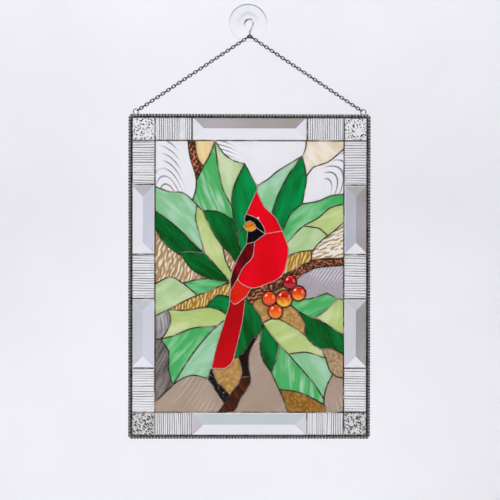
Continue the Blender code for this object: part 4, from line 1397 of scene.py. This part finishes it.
@dataclass
class TubeShape:
    """A mesh of tubes swept along lines.

    Attributes:
        sides: sides of each tube.
    """

    sides: int
    shape: bmesh.types.BMesh = field(default_factory=bmesh.new)

    def __post_init__(self) -> None:
        """Add the value that brightens the metal."""
        self.polish = self.shape.verts.layers.float.new("polish")

    def sweep(
        self, points: list[Vector], sizes: list[Point], closed: bool = False,
        polish: list[float] | None = None,
    ) -> None:
        """Sweep an oval along a line.

        Args:
            points: the line.
            sizes: half width and half depth of the oval at each point, the depth being through the panel.
            closed: whether the last point joins the first.
            polish: the brightening of the metal at each point, which on the rope is a painted glint.
        """
        rings = []
        count = len(points)
        for index, (point, (width, depth)) in enumerate(zip(points, sizes)):
            before = points[index - 1] if closed or index else point
            after = points[(index + 1) % count] if closed or index < count - 1 else point
            along = (after - before).normalized()
            across = along.cross(THROUGH).normalized()
            upwards = across.cross(along)
            ring = []
            for side in range(self.sides):
                angle = 2 * math.pi * side / self.sides
                offset = width * math.cos(angle) * across + depth * math.sin(angle) * upwards
                corner = self.shape.verts.new(point + offset)
                corner[self.polish] = polish[index] if polish else 0.0
                ring.append(corner)
            rings.append(ring)
        for index in range(count if closed else count - 1):
            here, there = rings[index], rings[(index + 1) % count]
            for side in range(self.sides):
                following = (side + 1) % self.sides
                self.shape.faces.new([here[side], here[following], there[following], there[side]])
        if not closed:
            self.shape.faces.new(rings[0][::-1])
            self.shape.faces.new(rings[-1])

    def blob(self, centre: Vector, size: Vector, polish: float = 0.0) -> None:
        """Add a rounded lump.

        Args:
            centre: its middle.
            size: its three radii.
            polish: the brightening of its metal.
        """
        made = bmesh.ops.create_icosphere(self.shape, subdivisions=2, radius=1.0)
        for corner in made["verts"]:
            corner.co = centre + Vector(a * b for a, b in zip(corner.co, size))
            corner[self.polish] = polish

    def finish(self) -> bpy.types.Object:
        """Return the mesh as an object."""
        bmesh.ops.recalc_face_normals(self.shape, faces=self.shape.faces)
        return mesh_piece(self.shape, 60.0)


@dataclass
class SolderLines:
    """The solder: a rounded bead along every line on both faces, with a lump at each junction.

    Attributes:
        plan: the panel's plan.
        half_width, bird_half_width, edge_half_width: of a bead, one round the bird, and the panel's edge.
        edge_inset: how far the edge's bead is moved in, under the rim wire.
        bird_reach, bright_reach: how near the bird a bead is thin, and how near it is bright.
        berry_reach: how near a berry a bead is dark.
        sides: sides of a bead.
        eye: radii of the bead that is the eye.
        patina: the finish.
    """

    plan: PanelPlan
    half_width: float = 0.86 * MM
    bird_half_width: float = 0.68 * MM
    edge_half_width: float = 1.0 * MM
    edge_inset: float = 0.85 * MM
    bird_reach: float = 2.0 * MM
    bright_reach: float = 2.2 * MM
    berry_reach: float = 12.0 * MM
    sides: int = 10
    eye: Triple = (1.4 * MM, 1.5 * MM, 1.4 * MM)
    patina: Metal = Metal(srgb(52, 42, 34), srgb(120, 104, 88), 0.36, 260.0, 0.8)

    def __post_init__(self) -> None:
        """Gather points all along the edges of the bird's panes."""
        points = []
        for pane in PANES:
            if pane.node in BIRD_NODES:
                points += smooth_loop(self.plan.window_at(self.plan.on_panel(pane.seed)), CURVE_STEP)
        self.bird = np.array([tuple(point) for point in points])
        self.berries = [self.plan.on_panel(place) for place, _ in BERRY_PLACES.values()]

    def build(self) -> None:
        """Run every bead."""
        tubes = TubeShape(self.sides)
        for line in self.plan.lines:
            curve = smooth_run(line, CURVE_STEP)
            tubes.sweep(
                [flat(self.inward(point), self.plan.plane) for point in curve],
                [self.size_at(point) for point in curve],
                polish=[self.brightening_at(point) for point in curve],
            )
        for junction in self.plan.junctions:
            width, depth = self.size_at(junction)
            size = Vector((width * 1.25, depth * 1.03, width * 1.25))
            tubes.blob(flat(self.inward(junction), self.plan.plane), size, self.brightening_at(junction) + 0.25)
        eye = self.plan.on_panel(EYE_SEED)
        # Painted highlight: the eye's bead is given full brightness, for the light dot on the eye.
        tubes.blob(flat(eye, self.plan.plane - GLASS_THICKNESS / 2), Vector(self.eye), 1.3)
        piece = tubes.finish()
        self.patch(piece)
        finish_piece(piece, "solder", self.patina.dress("patinated_solder", polish=True), "solder")
        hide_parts("solder_lattice")

    def size_at(self, point: Vector) -> Point:
        """Return the bead's half width and half depth, a little uneven.

        Args:
            point: a point of the line, in X and Z.

        Returns:
            The two.
        """
        place = Vector((point[0], 0.0, point[1]))
        lump = noise.noise(place / (6 * MM)) * 0.6 + noise.noise(place / (2.4 * MM)) * 0.5
        width = self.bird_half_width if self.bird_distance(point) < self.bird_reach else self.half_width
        if self.on_edge(point):
            return self.edge_half_width, self.plan.ridge * 0.9
        return width * (1 + 0.22 * lump), self.plan.ridge * (1 + 0.06 * lump)

    def inward(self, point: Vector) -> Vector:
        """Return a point, moved in from the panel's outer edge.

        Args:
            point: a point in X and Z.

        Returns:
            The point, moved where it has to be.
        """
        low, high, inset = self.plan.low, self.plan.high, self.edge_inset
        return Vector((
            min(max(point[0], low[0] + inset), high[0] - inset),
            min(max(point[1], low[2] + inset), high[2] - inset),
        ))

    def on_edge(self, point: Vector) -> bool:
        """Say whether a point is on the panel's outer edge."""
        return (self.inward(point) - point).length > WELD

    def bird_distance(self, point: Vector) -> float:
        """Return the distance to the nearest edge of the bird's panes."""
        return float(np.min(np.linalg.norm(self.bird - np.array(tuple(point)), axis=1)))

    def brightening_at(self, point: Vector) -> float:
        """Return how bright the bead is: round the bird, and in patches lower down.

        Args:
            point: a point of the line, in X and Z.

        Returns:
            The brightness, from 0 to 1.
        """
        if self.bird_distance(point) < self.bright_reach:
            return 1.0
        if self.on_edge(point) or any((point - middle).length < self.berry_reach for middle in self.berries):
            return 0.0
        down = (self.plan.high[2] - point[1]) / (self.plan.high[2] - self.plan.low[2])
        place = Vector((point[0], 3.0, point[1]))
        patch = noise.noise(place / (22 * MM)) + 0.6 * noise.noise(place / (7 * MM))
        return max(0.0, min(0.6, 0.35 * down + 0.8 * patch))

    def patch(self, piece: bpy.types.Object) -> None:
        """Fill the small gaps between berries with flat solder.

        Args:
            piece: the solder, which takes on the fillings.
        """
        shape = bmesh.new()
        shape.from_mesh(piece.data)
        reach = self.plan.ridge - BEAD_HEIGHT / 2
        for corners in self.plan.patches:
            front = [shape.verts.new(flat(corner, self.plan.plane - reach)) for corner in corners]
            back = [shape.verts.new(flat(corner, self.plan.plane + reach)) for corner in corners]
            faces = [shape.faces.new(front), shape.faces.new(back[::-1])]
            for index in range(3):
                following = (index + 1) % 3
                faces.append(shape.faces.new([front[following], front[index], back[index], back[following]]))
            bmesh.ops.recalc_face_normals(shape, faces=faces)
        shape.to_mesh(piece.data)
        shape.free()


@dataclass
class BeakLine:
    """The painted line that parts the two halves of the beak."""

    plan: PanelPlan
    half_width: float = 0.32 * MM

    def build(self) -> None:
        """Lay the line on the beak."""
        tubes = TubeShape(sides=8)
        level = self.plan.plane - GLASS_THICKNESS / 2
        curve = smooth_run([self.plan.on_panel(square) for square in BEAK_LINE], 0.8 * MM)
        tubes.sweep(
            [flat(point, level) for point in curve], [(self.half_width, self.half_width * 0.6)] * len(curve)
        )
        network = Network("beak_paint")
        grain = network.noise(network.place(0, 900.0), 2.0)
        network.set(Base_Color=network.blend(grain, srgb(70, 30, 4), srgb(120, 60, 10)), Roughness=0.4)
        finish_piece(tubes.finish(), "beak_line", network.material, "red_glass")


@dataclass
class RimRope:
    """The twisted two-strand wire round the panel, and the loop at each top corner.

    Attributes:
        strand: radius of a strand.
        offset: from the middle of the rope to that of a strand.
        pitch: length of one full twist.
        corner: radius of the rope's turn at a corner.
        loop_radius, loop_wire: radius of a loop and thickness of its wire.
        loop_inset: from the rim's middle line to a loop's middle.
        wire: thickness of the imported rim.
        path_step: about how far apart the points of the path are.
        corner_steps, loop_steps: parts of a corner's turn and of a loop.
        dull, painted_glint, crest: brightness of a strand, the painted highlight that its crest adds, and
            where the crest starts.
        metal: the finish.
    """

    strand: float = 1.0 * MM
    offset: float = 0.95 * MM
    pitch: float = 6.8 * MM
    corner: float = 2.2 * MM
    loop_radius: float = 2.9 * MM
    loop_wire: float = 1.1 * MM
    loop_inset: float = 7.0 * MM
    wire: float = 2.9 * MM
    path_step: float = 0.55 * MM
    corner_steps: int = 4
    loop_steps: int = 28
    dull: float = 0.1
    # Painted highlight: how much brighter a strand's crest is painted.
    painted_glint: float = 0.42
    crest: float = 0.55
    metal: Metal = Metal(srgb(28, 30, 31), srgb(74, 78, 78), 0.34, 420.0, 0.6, srgb(214, 222, 220))

    def __post_init__(self) -> None:
        """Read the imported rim."""
        self.low, self.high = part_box("rim_wire")
        self.plane = (self.low[1] + self.high[1]) / 2

    def loop_centre(self, side: int) -> Vector:
        """Return the middle of a corner loop.

        Args:
            side: -1 for the left and 1 for the right.

        Returns:
            The place.
        """
        middle = (self.low[0] + self.high[0]) / 2
        half = (self.high[0] - self.low[0]) / 2
        across = middle + side * (half - self.wire / 2 - self.loop_inset)
        return Vector((across, self.plane, self.high[2] - self.loop_radius - self.loop_wire / 2))

    def path(self) -> list[Vector]:
        """Return points along the rim: a rectangle with rounded corners.

        Returns:
            The points, the first not repeated.
        """
        inset = self.strand + self.offset + self.corner
        left, right = self.low[0] + inset, self.high[0] - inset
        bottom, top = self.low[2] + inset, self.high[2] - 2 * self.loop_radius - inset
        corners = []
        for number, (across, up) in enumerate(((right, top), (left, top), (left, bottom), (right, bottom))):
            for index in range(self.corner_steps + 1):
                angle = math.radians(90 * (number + index / self.corner_steps))
                corners.append(Vector((
                    across + self.corner * math.cos(angle), self.plane, up + self.corner * math.sin(angle),
                )))
        points = []
        for here, there in zip(corners, corners[1:] + corners[:1]):
            steps = max(1, round((there - here).length / self.path_step))
            points += [here.lerp(there, index / steps) for index in range(steps)]
        return points

    def build(self) -> None:
        """Twist the rope and solder on the loops."""
        tubes = TubeShape(sides=7)
        for strand in range(2):
            self.twist(tubes, math.pi * strand)
        for side in (-1, 1):
            self.solder_loop(tubes, self.loop_centre(side))
        piece = tubes.finish()
        finish_piece(piece, "rim_rope", self.metal.dress("twisted_wire", polish=True), "dark_wire")
        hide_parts("rim_wire")

    def twist(self, tubes: TubeShape, start: float) -> None:
        """Lay one strand round the panel.

        Args:
            tubes: the mesh that takes it on.
            start: its angle round the rope's middle where the path starts.
        """
        path = self.path()
        count = len(path)
        lengths = [(path[(index + 1) % count] - path[index]).length for index in range(count)]
        total = sum(lengths)
        twists = round(total / self.pitch)
        travelled = 0.0
        points, shine = [], []
        for index, point in enumerate(path):
            along = (path[(index + 1) % count] - path[index - 1]).normalized()
            angle = 2 * math.pi * twists * travelled / total + start
            around = math.cos(angle) * along.cross(THROUGH) + math.sin(angle) * THROUGH
            points.append(point + self.offset * around)
            # Painted highlight: a strand is brightened where it turns to face the front or the back, at its
            # crest.
            facing = max(0.0, abs(math.sin(angle)) - self.crest) / (1 - self.crest)
            shine.append(self.dull + self.painted_glint * facing)
            travelled += lengths[index]
        tubes.sweep(points, [(self.strand, self.strand)] * count, closed=True, polish=shine)

    def solder_loop(self, tubes: TubeShape, centre: Vector) -> None:
        """Bend one loop and add the solder at its foot.

        Args:
            tubes: the mesh that takes it on.
            centre: the loop's middle.
        """
        ring = []
        for index in range(self.loop_steps):
            angle = 2 * math.pi * index / self.loop_steps
            ring.append(centre + self.loop_radius * Vector((math.cos(angle), 0, math.sin(angle))))
        tubes.sweep(ring, [(self.loop_wire / 2, self.loop_wire / 2)] * self.loop_steps, closed=True)
        tubes.blob(centre - Vector((0, 0, self.loop_radius)), Vector((2.2, 1.3, 1.1)) * MM, 0.6)


@dataclass
class Hook:
    """The bent wire hook: an eye round the cup's neck, a shank and a J that opens towards the viewer.

    Attributes:
        wire: thickness of the wire.
        eye_half_width, eye_height: of the oval eye.
        eye_shift, eye_top: where the eye's middle is across, and its top.
        bend: radius of the J.
        tip: height of the J's tip over its foot.
        shift: where the shank is across.
        metal: the finish.
    """

    wire: float = 1.3 * MM
    eye_half_width: float = 4.4 * MM
    eye_height: float = 9.6 * MM
    eye_shift: float = 1.2 * MM
    eye_top: float = 3.1 * MM
    bend: float = 2.4 * MM
    tip: float = 5.5 * MM
    shift: float = 2.0 * MM
    metal: Metal = Metal(srgb(84, 84, 88), srgb(176, 176, 178), 0.26, 300.0)

    def foot(self) -> float:
        """Return the height of the wire's middle line at the bottom of the J."""
        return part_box("wire_hook")[0][2] + self.wire / 2

    def route(self) -> list[Vector]:
        """Return points along the wire, from the eye's end to the J's tip.

        Returns:
            The points.
        """
        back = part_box("wire_hook")[1][1] - self.wire / 2
        bottom = self.foot()
        middle = self.eye_top - self.eye_height / 2
        points = []
        for step in range(24):
            turn = math.radians(215 - 260 * step / 23)
            points.append(Vector((
                self.eye_shift + self.eye_half_width * math.cos(turn), back,
                middle + self.eye_height / 2 * math.sin(turn),
            )))
        points.append(Vector((self.shift, back, bottom + self.bend + 1.5 * MM)))
        for step in range(13):
            turn = math.pi * step / 12
            points.append(Vector((
                self.shift, back - self.bend + self.bend * math.cos(turn),
                bottom + self.bend - self.bend * math.sin(turn),
            )))
        points.append(Vector((self.shift, back - 2 * self.bend, bottom + self.tip)))
        return points

    def build(self) -> None:
        """Bend the wire."""
        points = self.route()
        curve = bpy.data.curves.new("hook", "CURVE")
        curve.dimensions = "3D"
        curve.bevel_depth = self.wire / 2
        curve.bevel_resolution = 4
        curve.use_fill_caps = True
        spline = curve.splines.new("POLY")
        spline.points.add(len(points) - 1)
        for target, point in zip(spline.points, points):
            target.co = (*point, 1.0)
        piece = show_alone("hook", curve)
        bpy.ops.object.convert(target="MESH")
        piece.data.shade_smooth()
        finish_piece(piece, "hook", self.metal.dress("steel_wire"), "steel_wire")
        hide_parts("wire_hook")


@dataclass
class Chain:
    """The two runs of oval links from the hook to the corner loops.

    Attributes:
        rope: the rim, with its loops.
        hook: the hook.
        count: links in a run.
        wire, width: thickness of a link's wire, and a link's full width.
        bite: how much shorter than its wires allow a link is.
        spacing: from one run to the other where they lie on the hook.
        clearance: between the end links and what they hang on.
        metal: the finish.
    """

    rope: RimRope
    hook: Hook
    count: int = 42
    wire: float = 1.15 * MM
    width: float = 4.1 * MM
    bite: float = 0.1 * MM
    spacing: float = 1.3 * MM
    clearance: float = 0.3 * MM
    metal: Metal = Metal(srgb(20, 20, 24), srgb(66, 66, 72), 0.36, 500.0, 0.7)

    def build(self) -> None:
        """Hang both runs."""
        for side, name in ((-1, "left"), (1, "right")):
            start = Vector((self.hook.shift, self.rope.plane + side * self.spacing / 2, self.hook.foot()))
            self.run(name, start, self.rope.loop_centre(side))

    def run(self, name: str, start: Vector, loop: Vector) -> None:
        """Hang one run, each link a copy of the first.

        Args:
            name: left or right.
            start: middle of the hook's wire.
            loop: middle of the corner loop.
        """
        along = (loop - start).normalized()
        level = (THROUGH - along * along[1]).normalized()
        upright = along.cross(level)
        end = loop - self.rope.loop_radius * along
        pitch = (end - start).length / self.count
        length = pitch + 2 * self.wire - self.bite
        slack = (length - self.wire) / 2 - (self.hook.wire + self.wire) / 2 - self.clearance
        first, last = start + slack * along, end - slack * along
        link = self.link(length)
        shape = bmesh.new()
        for index in range(self.count):
            middle = first.lerp(last, index / (self.count - 1))
            flat_way, thin_way = (upright, level) if index % 2 == 0 else (level, upright)
            before = len(shape.verts)
            shape.from_mesh(link)
            shape.verts.ensure_lookup_table()
            for corner in shape.verts[before:]:
                x, y, z = corner.co
                corner.co = middle + along * x + flat_way * y + thin_way * z
        bmesh.ops.recalc_face_normals(shape, faces=shape.faces)
        bpy.data.meshes.remove(link)
        piece = mesh_piece(shape, 80.0)
        finish_piece(piece, f"links_{name}", self.metal.dress(f"chain_{name}_metal"), "dark_wire")
        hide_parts(f"chain_{name}")

    def link(self, length: float) -> bpy.types.Mesh:
        """Draw a ring out into one oval link, long side along X.

        Args:
            length: the link's full length.

        Returns:
            The link's mesh.
        """
        unselect()
        bpy.ops.mesh.primitive_torus_add(
            major_segments=18, minor_segments=8,
            major_radius=(self.width - self.wire) / 2, minor_radius=self.wire / 2,
        )
        ring = bpy.context.object
        pull = (length - self.width) / 2
        for vertex in ring.data.vertices:
            vertex.co[0] += math.copysign(pull, vertex.co[0])
        mesh = ring.data
        bpy.data.objects.remove(ring)
        return mesh


@dataclass
class SuctionCup:
    """The clear suction cup, spun round the axis towards the window.

    Attributes:
        rim: thickness at the edge.
        shoulder, depth: radius of the cup's shoulder, and its distance from the window.
        neck, neck_length: radius and length of the neck.
        knob: radius of the knob.
        steps: parts of the spin.
    """

    rim: float = 0.8 * MM
    shoulder: float = 8.0 * MM
    depth: float = 5.0 * MM
    neck: float = 2.3 * MM
    neck_length: float = 3.6 * MM
    knob: float = 5.2 * MM
    steps: int = 96

    def outline(self, radius: float, full: float) -> list[Point]:
        """Draw half of the cup's section.

        Args:
            radius: the cup's radius.
            full: its full depth, to the top of the knob.

        Returns:
            Points of distance from the axis and from the window.
        """
        points = [(0.0, 0.0), (radius - 0.4 * MM, 0.0), (radius, 0.3 * MM), (radius, self.rim)]
        for step in range(1, 13):
            share = step / 12
            points.append((
                radius + (self.shoulder - radius) * share,
                self.rim + (self.depth - self.rim) * share ** 1.8,
            ))
        base = self.depth + self.neck_length
        points += [
            (6.5 * MM, self.depth + 0.1 * MM), (3.4 * MM, self.depth + 0.2 * MM),
            (self.neck, self.depth + 0.8 * MM), (self.neck, base - 0.4 * MM), (self.neck + 0.5 * MM, base),
        ]
        foot = base + 0.3 * MM
        for step in range(8):
            angle = math.radians(90 * step / 8)
            points.append((self.knob * math.cos(angle) ** 0.6, foot + (full - foot) * math.sin(angle)))
        return points + [(0.0, full)]

    def build(self) -> None:
        """Spin the cup's outline."""
        low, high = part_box("suction_cup")
        radius = (high[0] - low[0]) / 2
        outline = self.outline(radius, high[1] - low[1])
        mesh = bpy.data.meshes.new("cup")
        mesh.from_pydata(
            [(across, -depth, 0.0) for across, depth in outline],
            [(index, index + 1) for index in range(len(outline) - 1)], [],
        )
        piece = show_alone("cup", mesh)
        bpy.ops.object.mode_set(mode="EDIT")
        bpy.ops.mesh.select_all(action="SELECT")
        bpy.ops.mesh.spin(steps=self.steps, angle=2 * math.pi, center=(0, 0, 0), axis=(0, 1, 0))
        bpy.ops.mesh.select_all(action="SELECT")
        bpy.ops.mesh.remove_doubles(threshold=0.02 * MM)
        bpy.ops.mesh.normals_make_consistent(inside=False)
        bpy.ops.object.mode_set(mode="OBJECT")
        piece.data.shade_smooth()
        piece.data.set_sharp_from_angle(angle=math.radians(50))
        finish_piece(piece, "cup", self.dress(radius), "clear_plastic")
        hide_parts("suction_cup")

    def dress(self, radius: float) -> bpy.types.Material:
        """Make the clear vinyl, with painted shade: grey on the upper part of its rim and of its step.

        Args:
            radius: the cup's radius.

        Returns:
            The material.
        """
        network = Network("clear_vinyl")
        parts = network.node("SeparateXYZ", None, {0: network.place(0, 1 / radius)})
        across, up = Wave(network, parts.outputs["X"]), Wave(network, parts.outputs["Z"])
        out = across * across + up * up
        soft = network.noise(network.place(0, 60.0), 2.0)
        body = network.blend(network.level(soft, 0.3, 0.7), srgb(246, 246, 250), srgb(255, 255, 255))
        # Painted shade: the rim and the ring of the step are greyed on the upper part only, where the light
        # leaves grey arcs.
        upper = network.level(up, -0.2, 0.8)
        step = network.level(out, 0.1, 0.2) * (1.0 - network.level(out, 0.24, 0.4)) * upper * 0.6
        edge = network.level(out, 0.86, 0.93) * (upper * 0.8 + 0.1)
        stepped = network.blend(step, body, srgb(206, 206, 214))
        network.set(
            Base_Color=network.blend(edge, stepped, srgb(150, 150, 160)),
            Roughness=0.08,
            Transmission_Weight=1.0,
            IOR=1.12,
            Specular_IOR_Level=0.3,
        )
        network.bump(network.noise(network.place(0, 160.0), 2.0), 0.2 * MM)
        return network.material


@dataclass(frozen=True)
class Lamp:
    """One soft square light.

    Attributes:
        name: its name.
        place, target: where it stands and what it is aimed at.
        size, power: its side in metres and its watts.
    """

    name: str
    place: Triple
    target: Triple
    size: float
    power: float

    def hang(self) -> None:
        """Add the light to the scene."""
        lamp = bpy.data.lights.new(self.name, "AREA")
        lamp.size = self.size
        lamp.energy = self.power
        thing = bpy.data.objects.new(self.name, lamp)
        thing.location = self.place
        aim = Vector(self.target) - Vector(self.place)
        thing.rotation_euler = aim.to_track_quat("-Z", "Y").to_euler()
        bpy.context.scene.collection.objects.link(thing)


@dataclass
class Studio:
    """The plain floor and backdrop, the lights and the camera.

    Attributes:
        distance: from the camera to the panel's plane.
        across, height: the camera's place.
        yaw, pitch, roll: where it looks, in degrees, to the right, down and clockwise.
        lens: focal length for a 36 mm wide picture, in mm.
        floor, wall: height of the floor, and distance of the wall behind the panel.
        bend: radius of the sweep between them.
        lamps: the lights on the panel's front and on the backdrop.
    """

    distance: float = 1.5
    across: float = -0.0165
    height: float = -0.2439
    yaw: float = 0.7333
    pitch: float = 0.3858
    roll: float = -0.1025
    lens: float = 96.35
    floor: float = -0.75
    wall: float = 1.3
    bend: float = 0.6
    lamps: tuple[Lamp, ...] = (
        Lamp("key", (-1.1, -1.5, 0.9), (0.0, 0.0, -0.28), 0.9, 30),
        Lamp("fill", (1.5, -1.2, 0.2), (0.0, 0.0, -0.28), 1.2, 14),
        Lamp("backdrop_light", (0.0, 0.25, 1.9), (0.0, 1.3, -0.1), 1.8, 38),
    )

    def build(self) -> None:
        """Set everything up."""
        self.backdrop()
        for lamp in self.lamps:
            lamp.hang()
        self.world()
        self.camera()

    def backdrop(self) -> None:
        """Sweep the pale floor up into the wall."""
        profile = [(-3.0, self.floor)]
        for step in range(13):
            angle = math.radians(-90 + 90 * step / 12)
            profile.append((
                self.wall - self.bend + self.bend * math.cos(angle),
                self.floor + self.bend + self.bend * math.sin(angle),
            ))
        profile.append((self.wall, 3.0))
        shape = bmesh.new()
        rows = [[shape.verts.new((across, y, z)) for across in (-4.0, 4.0)] for y, z in profile]
        for here, there in zip(rows, rows[1:]):
            shape.faces.new([here[0], here[1], there[1], there[0]])
        piece = mesh_piece(shape, 180.0)
        piece.name = "backdrop"
        network = Network("pale_paper")
        grain = network.level(network.noise(network.place(0, 3.0), 3.0), 0.2, 0.8)
        network.set(Base_Color=network.blend(grain, srgb(226, 226, 230), srgb(232, 232, 236)), Roughness=0.9)
        piece.data.materials.append(network.material)

    def world(self) -> None:
        """Fill the room with soft light."""
        world = bpy.data.worlds.new("studio")
        world.use_nodes = True
        world.node_tree.nodes["Background"].inputs["Color"].default_value = (*srgb(222, 224, 230), 1.0)
        world.node_tree.nodes["Background"].inputs["Strength"].default_value = 0.16
        bpy.context.scene.world = world
        bpy.context.scene.view_settings.view_transform = "Standard"

    def camera(self) -> None:
        """Place the camera as the photograph was taken."""
        lens = bpy.data.cameras.new("camera")
        lens.lens = self.lens
        lens.sensor_width = 36
        lens.clip_start = 0.05
        thing = bpy.data.objects.new("camera", lens)
        thing.location = (self.across, -self.distance, self.height)
        yaw, pitch, roll = (math.radians(value) for value in (self.yaw, self.pitch, self.roll))
        forward = Vector((math.sin(yaw) * math.cos(pitch), math.cos(yaw) * math.cos(pitch), -math.sin(pitch)))
        thing.rotation_euler = (Quaternion(forward, roll) @ forward.to_track_quat("-Z", "Y")).to_euler()
        bpy.context.scene.collection.objects.link(thing)
        bpy.context.scene.camera = thing


def main() -> None:
    """Build the looks of the panel."""
    logging.basicConfig(level=logging.INFO, format="%(message)s")
    PACKED.update(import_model())
    plan = PanelPlan(PACKED["nodes"]["solder_lattice"])
    LOG.info("%d windows, %d lines", len(plan.windows), len(plan.lines))
    cutter = PaneCutter(plan)
    Picture(plan, cutter).build()
    Border(plan, cutter).build()
    Berries(plan).build()
    SolderLines(plan).build()
    BeakLine(plan).build()
    rope, hook = RimRope(), Hook()
    rope.build()
    Chain(rope, hook).build()
    hook.build()
    SuctionCup().build()
    Studio().build()


if __name__ == "__main__":
    main()
